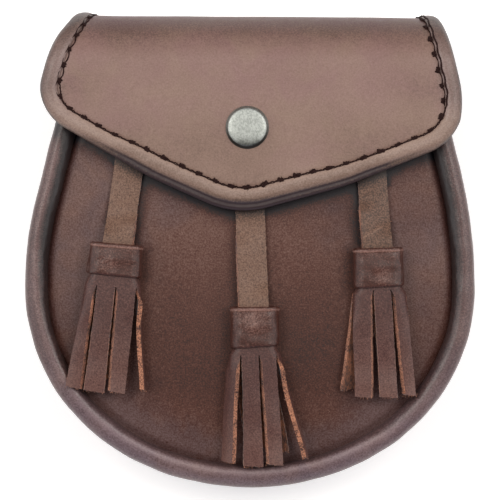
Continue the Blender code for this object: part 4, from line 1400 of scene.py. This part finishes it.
FRINGE_FLAT = {"left": 16.1 * MM, "middle": 14.1 * MM, "right": 14.7 * MM}  # of the fringe at its slits' top
FLATTENING = 16 * MM  # length over which a strand loses the curve of the head
TWISTING = 7 * MM  # the same for one that turns on its edge or its back
SLIT = 0.35 * MM
STRAND_COLUMNS = 8
COLLAR_ROWS = 8
STRAND_ROWS = 52
UNCUT = {"left": 4.3 * MM, "middle": 3.2 * MM, "right": 1.1 * MM}  # leather between the band and the slits
TURNING = 17 * MM  # length over which a strand twists to its own facing
STRANDS = {
    # For each strand: the share of the way round the head where it starts and ends (0 the left end, 0.25
    # the front, 0.5 the right end), its tip's middle x, width and y in the tassel's own frame, in mm,
    # its facing there in degrees (0 the front, 90 the right, 180 the back), how far it sinks, and how
    # much of its left and right cut edge the slanted knife left in sight, in mm.
    "left": (
        (-0.045, 0.111, -12.4, 7.1, -52.2, -10, 1.8, 0.0, 0.8),
        (0.111, 0.276, -3.9, 8.8, -52.9, 0, 2.0, 0.3, 0.3),
        (0.276, 0.445, 4.9, 7.2, -52.4, 4, 2.2, 0.9, 0.0),
        (0.445, 0.60, 15.2, 5.6, -50.6, 88, -0.6, 0.1, 0.1),
        (0.60, 0.78, 3.0, 6.6, -47.5, 180, 1.2, 0.0, 0.0),
        (0.78, 0.955, -7.5, 6.4, -46.8, 184, 1.0, 0.0, 0.0),
    ),
    "middle": (
        (-0.035, 0.118, -11.4, 7.6, -53.6, -52, 0.8, 0.1, 0.1),
        (0.118, 0.2865, -0.95, 8.5, -55.5, 0, 2.6, 0.25, 0.0),
        (0.2865, 0.443, 7.55, 7.0, -54.8, 8, 2.4, 1.0, 0.1),
        (0.443, 0.59, 19.6, 5.6, -52.2, 82, -0.6, 0.1, 0.1),
        (0.59, 0.70, 11.3, 4.2, -50.0, 172, 1.6, 0.0, 0.0),
        (0.70, 0.83, 2.5, 5.2, -48.5, 180, 1.6, 0.0, 0.0),
        (0.83, 0.965, -2.0, 5.2, -47.5, 186, 1.6, 0.0, 0.0),
    ),
    "right": (
        (-0.01, 0.192, -7.15, 7.5, -51.4, -3, 2.0, 0.0, 0.9),
        (0.192, 0.361, 2.85, 7.6, -51.7, 0, 2.2, 0.3, 0.2),
        (0.361, 0.50, 10.7, 5.6, -51.0, 9, 2.0, 1.0, 0.0),
        (0.50, 0.66, 11.0, 5.0, -47.5, 176, 1.2, 0.0, 0.0),
        (0.66, 0.82, 2.0, 6.2, -46.5, 180, 1.2, 0.0, 0.0),
        (0.82, 0.99, -13.6, 6.6, -48.4, 215, 0.4, 0.0, 0.0),
    ),
}
tassel_grain = grain_leather(
    "Soft_tassel_leather_grain", "#241817", "#492b26", "#725248", 0.48, relief=0.07 * MM, cloudiness=0.2,
    speckle=1.25, cool="#f8f0f4", gloss=0.45
)
suede = raw_leather("Tassel_suede_back", "#3b221a", "#8a5539", (1, 2.5, 1))


def around_head(share, flat, reach=0.0):
    """x, z and facing at a share of the way round the head, reach further out than its leather's middle."""
    quarter = pi / 2 * HEAD_END_RADIUS
    along = (share % 1.0) * (2 * flat + 4 * quarter)
    half = flat + 2 * quarter
    side, along = (1, along) if along < half else (-1, along - half)
    facing = min(0.0, along / HEAD_END_RADIUS - pi / 2) + max(0.0, (along - quarter - flat) / HEAD_END_RADIUS)
    x = min(max(along - quarter, 0.0), flat) - flat / 2
    radius = HEAD_END_RADIUS + reach
    return side * (x + radius * sin(facing)), side * radius * cos(facing), facing + (0 if side > 0 else pi)


def head_flat(name, share):
    """Width of the head's flat side at a share of the way down its band."""
    top, foot = HEAD_FLAT[name]
    return (top + (foot - top) * min(max(share, 0.0), 1.0)) * MM


def tassel_frame(tassel):
    """The frame in the middle of a tassel's head, its x to the right and its z out of the pouch."""
    _, x, y, _, _, _, _, _, lean, _, _ = tassel
    middle = Vector((x * MM, y * MM, head_middle_z(x * MM, y * MM)))
    return Matrix.Translation(middle) @ Matrix.Rotation(radians(lean), 4, "Z")


def strand_place(tassel, strand, across, below, depth):
    """A point of a strand: across from -0.5 to 0.5, below the slits' top in m, depth out of its middle."""
    name, band_height = tassel[0], tassel[3] * MM
    start, end, tip_x, tip_width, tip_y, tip_facing, sinks, cut_left, cut_right = strand
    slits_at = -band_height / 2 - UNCUT[name]
    length = slits_at - tip_y * MM
    at_band = head_flat(name, (band_height / 2 - slits_at + below) / band_height)
    spread = smooth_step((below + UNCUT[name]) / max(UNCUT[name], 3 * MM))
    flat = at_band + (FRINGE_FLAT[name] - at_band) * spread
    pattern = 2 * flat + 2 * pi * HEAD_END_RADIUS
    share = start + (end - start) * (across + 0.5)
    x, z, facing = around_head(share, flat, depth)
    wound = Vector((x, slits_at - below, z))
    if below <= 0:
        return tassel_frame(tassel) @ wound
    middle_share = (start + end) / 2
    x, z, facing = around_head(middle_share, flat)
    if facing > pi * 1.2 and tip_facing < 0:
        facing -= 2 * pi
    down = below / length
    eased = smooth_step(down)
    facing += (radians(tip_facing) - facing) * smooth_step(below / TURNING)
    width = (end - start) * pattern * (1 - eased) + tip_width * MM * eased
    start_x = x
    x += (tip_x * MM - x) * (0.8 * down + 0.2 * eased)
    wound.x += x - start_x
    key = Vector((middle_share * 90 * MM, below, x * 0.2))
    x += waves(key, 16 * MM, 0.5 * MM, 1.5) * down
    z += waves(key, 11 * MM, 1.3 * MM, 6.5) * down - sinks * MM * down**1.5
    wear_and_painted_light = smooth_step((abs(across) - 0.4) / 0.1)
    slant = (cut_left if across < 0 else cut_right) * MM * (depth / FRINGE_LEATHER + 0.5)
    key = Vector((share * 50 * MM, below, depth))
    cut_back = waves(key, 1.1 * MM, 0.28 * MM, 8.0) * wear_and_painted_light * rise(below, 0, 4)
    cut_back -= 2 * across * slant * rise(below, 0, 3)
    off_middle = across * width + cut_back
    cupped = -0.35 * MM * (2 * across) ** 2 * rise(below, 0, 10) + depth
    x += off_middle * cos(facing) + cupped * sin(facing)
    z += cupped * cos(facing) - off_middle * sin(facing)
    hanging = Vector((x, slits_at - below, z))
    if abs(tip_facing) > 45:
        return tassel_frame(tassel) @ wound.lerp(hanging, smooth_step(below / TWISTING))
    place = wound.lerp(hanging, smooth_step(below / FLATTENING))
    place.x = wound.x + cut_back + (hanging.x - wound.x - cut_back) * down
    return tassel_frame(tassel) @ place


def make_fringe(tassel):
    """The strip is slit between its strands, given its thickness flat and then wound round the head."""
    name, band_height = tassel[0], tassel[3] * MM
    strands = STRANDS[name]
    columns = len(strands) * (STRAND_COLUMNS + 1) - 1
    rows = COLLAR_ROWS + STRAND_ROWS
    fringe = cut_strip("fringe_" + name, columns, rows, columns, rows)
    slits_at = -band_height / 2 - UNCUT[name]
    top = band_height / 2 - 0.8 * MM
    slit_share = SLIT / (2 * FRINGE_FLAT[name] + 2 * pi * HEAD_END_RADIUS) / 2

    def on_fringe(p):
        k, column = divmod(round(p.x + columns / 2), STRAND_COLUMNS + 1)
        down = rows / 2 - p.y  # rows below the strip's upper edge
        start, end, _, _, tip_y = strands[k][:5]
        inner = slit_share / (end - start)
        across = -0.5 + inner + (1 - 2 * inner) * column / STRAND_COLUMNS
        if down <= COLLAR_ROWS:
            below = (top - slits_at) * (down / COLLAR_ROWS - 1)
        else:
            below = (slits_at - tip_y * MM) * (down - COLLAR_ROWS) / STRAND_ROWS
            ragged = waves(Vector((across * 9 * MM, k * 30 * MM, p.z * MM)), 1.2 * MM, 0.3 * MM, 4.4)
            below += ragged * smooth_step((down - rows + 3) / 3) + across * 0.6 * MM * down / rows
        return strand_place(tassel, strands[k], across, below, p.z * MM)

    select_only(fringe)
    bpy.ops.object.mode_set(mode="EDIT")
    bpy.ops.mesh.select_all(action="DESELECT")
    bpy.ops.mesh.select_mode(type="FACE")
    bpy.ops.object.mode_set(mode="OBJECT")
    for face in fringe.data.polygons:
        column = floor(face.center.x + columns / 2)
        below_collar = rows / 2 - face.center.y > COLLAR_ROWS
        face.select = column % (STRAND_COLUMNS + 1) == STRAND_COLUMNS and below_collar
    bpy.ops.object.mode_set(mode="EDIT")
    bpy.ops.mesh.delete(type="FACE")
    bpy.ops.object.mode_set(mode="OBJECT")
    thicken(fringe, FRINGE_LEATHER / MM, 0, tassel_grain, suede, raw_edge)
    set_tone(fringe, lambda p: 0.3 * (0.5 - p.y / rows) ** 2)
    bend(fringe, on_fringe)
    place_piece(fringe, "tassel_leather", "tassel_fringe_" + name)


for tassel in TASSELS:
    make_fringe(tassel)

# Loose fibres at the strands' tips and along the raw edges, each a hair that narrows at both ends, 0.04 to
# 0.19 mm thick.
TIP_FIBRES, EDGE_FIBRES, STRAP_FIBRES = 13, 9, 26  # of each strand, of each strand, of each strap
fray = random.Random(5)


def one_fibre():
    """A fibre 1 mm long, from the origin along X."""
    points = ((0.0, 0.0, 0.0), (0.4, 0.05, 0.12), (0.75, -0.03, 0.16), (1.0, 0.02, 0.1))
    ups = [Vector((0, 0, 1))] * len(points)
    return thread_along("fibre", [Vector(point) * MM for point in points], ups, 0.085 * MM, around=4)


def fibre_frame(root, way, length):
    """A frame for a fibre that starts at root and points about this way."""
    way = (way.normalized() + Vector([fray.uniform(-0.7, 0.7) for _ in range(3)])).normalized()
    side = way.orthogonal().normalized()
    turned = Matrix((way, side, way.cross(side))).transposed().to_4x4()
    rolled = Matrix.Rotation(fray.uniform(0, 6.28), 4, "X")  # any way round
    return Matrix.Translation(root) @ turned @ rolled @ Matrix.Scale(length, 4)


fibre_frames = []
for tassel in TASSELS:
    slits_at = -tassel[3] * MM / 2 - UNCUT[tassel[0]]
    for strand in STRANDS[tassel[0]]:
        length = slits_at - strand[4] * MM
        for _ in range(TIP_FIBRES):
            across, depth = fray.uniform(-0.5, 0.5), fray.choice((-0.8, 0.8)) * MM
            root = strand_place(tassel, strand, across, length - 0.1 * MM, depth)
            above = strand_place(tassel, strand, across, length - 2 * MM, depth)
            fibre_frames.append(fibre_frame(root, root - above, fray.uniform(0.3, 1.1)))
        for _ in range(EDGE_FIBRES):
            across, depth = fray.choice((-0.5, 0.5)), fray.choice((-0.7, 0.7)) * MM
            below = length * fray.random() ** 0.6
            root = strand_place(tassel, strand, across, max(below, 6 * MM), depth)
            inside = strand_place(tassel, strand, across * 0.5, max(below, 6 * MM), depth)
            fibre_frames.append(fibre_frame(root, root - inside, fray.uniform(0.25, 0.8)))
    run = hypot(tassel[6] - tassel[4], tassel[7] - tassel[5]) * MM
    for _ in range(STRAP_FIBRES):
        side = tassel[9] if fray.random() < 0.75 else -tassel[9]
        x = run * fray.uniform(0.1, 1.0)
        root = strap_place(tassel, Vector((x, side * STRAP_WIDTH / 2, fray.uniform(-0.9, 0.9) * MM)))
        inside = strap_place(tassel, Vector((x, side * STRAP_WIDTH / 4, 0.9 * MM)))
        fibre_frames.append(fibre_frame(root, root - inside, fray.uniform(0.25, 0.75)))
# two longer and thicker ones stand off the middle tassel's right strand
for below, way in ((17 * MM, (-1, -0.4, 0.5)), (28 * MM, (-0.5, 1, 0.5))):
    root = strand_place(TASSELS[1], STRANDS["middle"][3], -0.5, below, 0.9 * MM)
    fibre_frames.append(fibre_frame(root, Vector(way), 2.6))
fibres = copies_of(one_fibre(), "frayed_fibres", fibre_frames)
place_piece(fibres, "tassel_leather", look=raw_edge)


# ================================================================ tassel bands
# A band of thin leather is wound tight round each head, wet, and its end is glued down by the right end.
# As it dried it shrank into fine wrinkles; its upper edge is turned in and shines.

BAND_ROUND = 200
BAND_ROWS = 96
WRAP_STEP = 0.32 * MM
BAND_CORNER = 0.55 * MM
WRINKLE = 0.07 * MM
BANDS = {
    # name: where the wound end lies (share of the way round), how much higher the lower edge is at the
    # right end than at the left, x and y of the wrinkled patch and its size, in mm
    "left": (0.455, -0.3, -3.0, -2.0, 5.0),
    "middle": (0.52, 1.0, 0.0, 2.0, 7.0),
    "right": (0.447, 0.5, 1.5, -4.0, 4.5),
}
band_grain = grain_leather(
    "Wet_wrapped_band_grain", "#2a1815", "#47261e", "#8c6a60", 0.4, relief=0.06 * MM, cloudiness=0.2,
    speckle=1.1, gloss=0.45
)


def make_band(tassel):
    """A strip rolled up into a flat ring with rounded edges, then wrinkled."""
    name, band_height = tassel[0], tassel[3] * MM
    seam, lower_edge, patch_x, patch_y, patch_size = BANDS[name]
    frame_there = tassel_frame(tassel)
    beyond = FRINGE_LEATHER / 2 + PIECES_APART
    half_high, half_thick = band_height / 2, BAND_LEATHER / 2
    face = band_height - 2 * BAND_CORNER
    edge = 2.4 * BAND_CORNER

    def section(turn):
        """Out from the band's inner face and up from its middle, at a turn round its thickness: down the
        outer face, round the lower edge, up the inner face and round the upper edge."""
        place = turn * (2 * face + 2 * edge + 0.2 * MM)
        if place < face:
            return BAND_LEATHER, half_high - BAND_CORNER - place
        place -= face
        if place < edge:
            angle = pi * place / edge
            return half_thick + half_thick * cos(angle), -half_high + BAND_CORNER - BAND_CORNER * sin(angle)
        place -= edge
        if place < face:
            return 0.0, -half_high + BAND_CORNER + place
        angle = pi * min(1.0, (place - face) / edge)
        return half_thick - half_thick * cos(angle), half_high - BAND_CORNER + BAND_CORNER * sin(angle)

    def crinkled(x, up, z):
        """Fine wrinkles that run slantwise across the band."""
        return waves(Vector((0.17 * (x + up), 0.7 * (up - x), 0.3 * z)), 0.6 * MM, WRINKLE, 3.0)

    def place(step, turn):
        share = step / BAND_ROUND
        out, up = section(turn)
        outward = out / BAND_LEATHER
        flat = head_flat(name, 0.5 - up / band_height)
        x, z, facing = around_head(share, flat, beyond + out)
        lower = smooth_step(0.5 - up / band_height)
        up += lower * lower_edge * MM * x / (flat + 6 * MM)
        swell = 0.0
        if outward > 0.5:
            near = hypot(x / MM - patch_x, up / MM - patch_y) / patch_size
            crinkle = crinkled(x, up, z) * max(0.0, 1.3 - near)
            soft = waves(Vector((x * 0.5, up, z)), 3.4 * MM, 0.34 * MM, 5.0)
            past_seam = smooth_step((share - seam) * 260) * (1 - smooth_step((share - seam - 0.06) * 30))
            rolled = 0.28 * MM * smooth_step(1 - abs(up - band_height / 2 + 0.9 * MM) / (1.1 * MM))
            swell = crinkle + soft - WRAP_STEP * past_seam + rolled
            swell += 0.35 * MM * max(0.0, 1 - (x / (8 * MM)) ** 2) * max(0.0, 1 - (2 * up / band_height) ** 2)
            swell -= 0.3 * MM * smooth_step(1 - abs(x + 10.4 * MM) / (0.9 * MM))
        edge_wave = waves(Vector((x, z, 0)), 7 * MM, 0.14 * MM, 9.0)
        spot = Vector((x + swell * sin(facing), up + edge_wave, z + swell * cos(facing)))
        return frame_there @ spot

    length = 2 * head_flat(name, 0.5) + 2 * pi * (HEAD_END_RADIUS + beyond)

    def tone(step, turn):
        """Its upper edge has a burnish, painted lighter as a highlight, its wrinkled patch has a painted
        highlight, and it has painted shade round its ends.
        """
        out, up = section(turn)
        x, z, facing = around_head(step / BAND_ROUND, head_flat(name, 0.5), beyond + out)
        near = hypot(x / MM - patch_x, up / MM - patch_y) / patch_size
        crest = crinkled(x, up, z) / WRINKLE
        # painted highlight over the wrinkled patch, strongest on the wrinkles' crests
        patch = (0.2 + 0.14 * crest) * (1 - smooth_step((near - 0.1) / 1.1))
        end_shade = -0.03 * smooth_step((abs(sin(facing)) - 0.3) / 0.4)
        below_top = band_height / 2 - up
        burnished_highlight = 0.45 * smooth_step(1 - abs(below_top - 1.3 * MM) / (0.7 * MM))
        lower = -0.08 * rise(below_top, 2, 4)
        return burnished_highlight + lower + (patch + end_shade) * min(1.0, out / BAND_LEATHER)

    band = roll_up("band_" + name, length, 2 * band_height, BAND_ROUND, BAND_ROWS, place, tone)
    place_piece(band, "tassel_leather", "tassel_band_" + name, look=band_grain)


for tassel in TASSELS:
    make_band(tassel)


# ================================================================ studio
# A pale floor under a soft white room, a high and a low softbox at each side, and a weak window beyond
# the fold. The camera looks straight down.

def pale_paper(name):
    """Matt white paper with a faint tooth, slightly luminous to be as white as the photo's ground."""
    made, tree, shader, place = new_material(name, 0.9)
    tooth = add_node(tree, "TexNoise", {"Scale": 1 / (1.5 * MM), "Detail": 3.0}, {"Vector": place})
    whites = {"data_type": "RGBA", 6: linear("#f8f8f7"), 7: linear("#fdfdfd")}
    colour = add_node(tree, "Mix", whites, {0: tooth})
    tree.links.new(colour.outputs[2], shader.inputs["Base Color"])
    shader.inputs["Emission Color"].default_value = (1.0, 1.0, 1.0, 1.0)
    shader.inputs["Emission Strength"].default_value = 0.36
    return made


bpy.ops.mesh.primitive_plane_add(size=8, location=(0, 0, 0))
ground = bpy.context.object
ground.name = "floor"
ground.data.materials.append(pale_paper("Matt_white_paper"))

CAMERA_HEIGHT = 1.0
PHOTO_WIDTH = 0.2  # of the level that PHOTO_LEVEL gives, across the whole frame
PHOTO_LEVEL = 36 * MM
bpy.ops.object.camera_add(location=(0, 0, CAMERA_HEIGHT), rotation=(0, 0, 0))
camera = bpy.context.object
camera.data.lens = camera.data.sensor_width * (CAMERA_HEIGHT - PHOTO_LEVEL) / PHOTO_WIDTH
bpy.context.scene.camera = camera


def softbox(name, place, width, height, power, colour):
    """A lamp that looks at the pouch."""
    bpy.ops.object.light_add(type="AREA", location=place)
    lamp = bpy.context.object
    lamp.name = name
    lamp.rotation_euler = (-Vector(place)).to_track_quat("-Z", "Y").to_euler()
    lamp.data.shape = "RECTANGLE"
    lamp.data.size = width
    lamp.data.size_y = height
    lamp.data.energy = power
    lamp.data.color = linear(colour)[:3]


for side, x in (("left", -1), ("right", 1)):
    softbox(side + "_high_softbox", (x * 0.5, 0.3, 1.1), 0.5, 0.5, 4.7, "#fffaf4")
    softbox(side + "_low_softbox", (x * 0.6, -0.02, 0.32), 0.9, 0.35, 1.2, "#f8f7fa")
softbox("window", (0, 0.7, 0.5), 0.7, 0.14, 0.4, "#fbf8ff")

world = bpy.data.worlds.new("studio_room")
world.use_nodes = True
room = world.node_tree
direction = add_node(room, "TexCoord").outputs["Generated"]
parts = add_node(room, "SeparateXYZ", None, {"Vector": direction})


def shades(value, stops):
    """A grey that goes through these stops, each (value, shade), as value runs from -1 to 1."""
    share = add_node(room, "MapRange", {"From Min": -1.0}, {"Value": value})
    ramp = add_node(room, "ValToRGB", None, {"Fac": share})
    spots = ramp.color_ramp.elements
    spots.remove(spots[1])
    for count, (at, shade) in enumerate(stops):
        spot = spots[0] if count == 0 else spots.new((at + 1) / 2)
        spot.position = (at + 1) / 2
        spot.color = (shade, shade, shade, 1.0)
    return ramp.outputs["Color"]


# the room is brightest at half height and dim overhead; the photographer stands before the pouch, and
# it has no wall near the fold
height = shades(parts.outputs["Z"], ((0.0, 0.55), (0.3, 0.9), (0.7, 1.0), (0.9, 0.7), (1.0, 0.4)))
shaded = shades(
    parts.outputs["Y"],
    (
        (-1.0, 1.5), (-0.88, 1.15), (-0.74, 0.15), (-0.3, 0.15),
        (-0.08, 0.9), (0.0, 1.0), (0.5, 0.9), (0.85, 0.1),
    ),
)
brightness = add_node(room, "Math", {"operation": "MULTIPLY"}, {0: height, 1: shaded})
strength = add_node(room, "Math", {"operation": "MULTIPLY", 1: 0.98}, {0: brightness})
window_side = {"From Min": -0.3, "From Max": -0.9}
by_window = add_node(room, "MapRange", window_side, {"Value": parts.outputs["Y"]})
daylight = {"data_type": "RGBA", 6: linear("#fbf8f5"), 7: linear("#e4e7ff")}
colour = add_node(room, "Mix", daylight, {0: by_window})
background = room.nodes["Background"]
room.links.new(colour.outputs[2], background.inputs["Color"])
room.links.new(strength.outputs[0], background.inputs["Strength"])
bpy.context.scene.world = world
bpy.context.scene.view_settings.view_transform = "Standard"
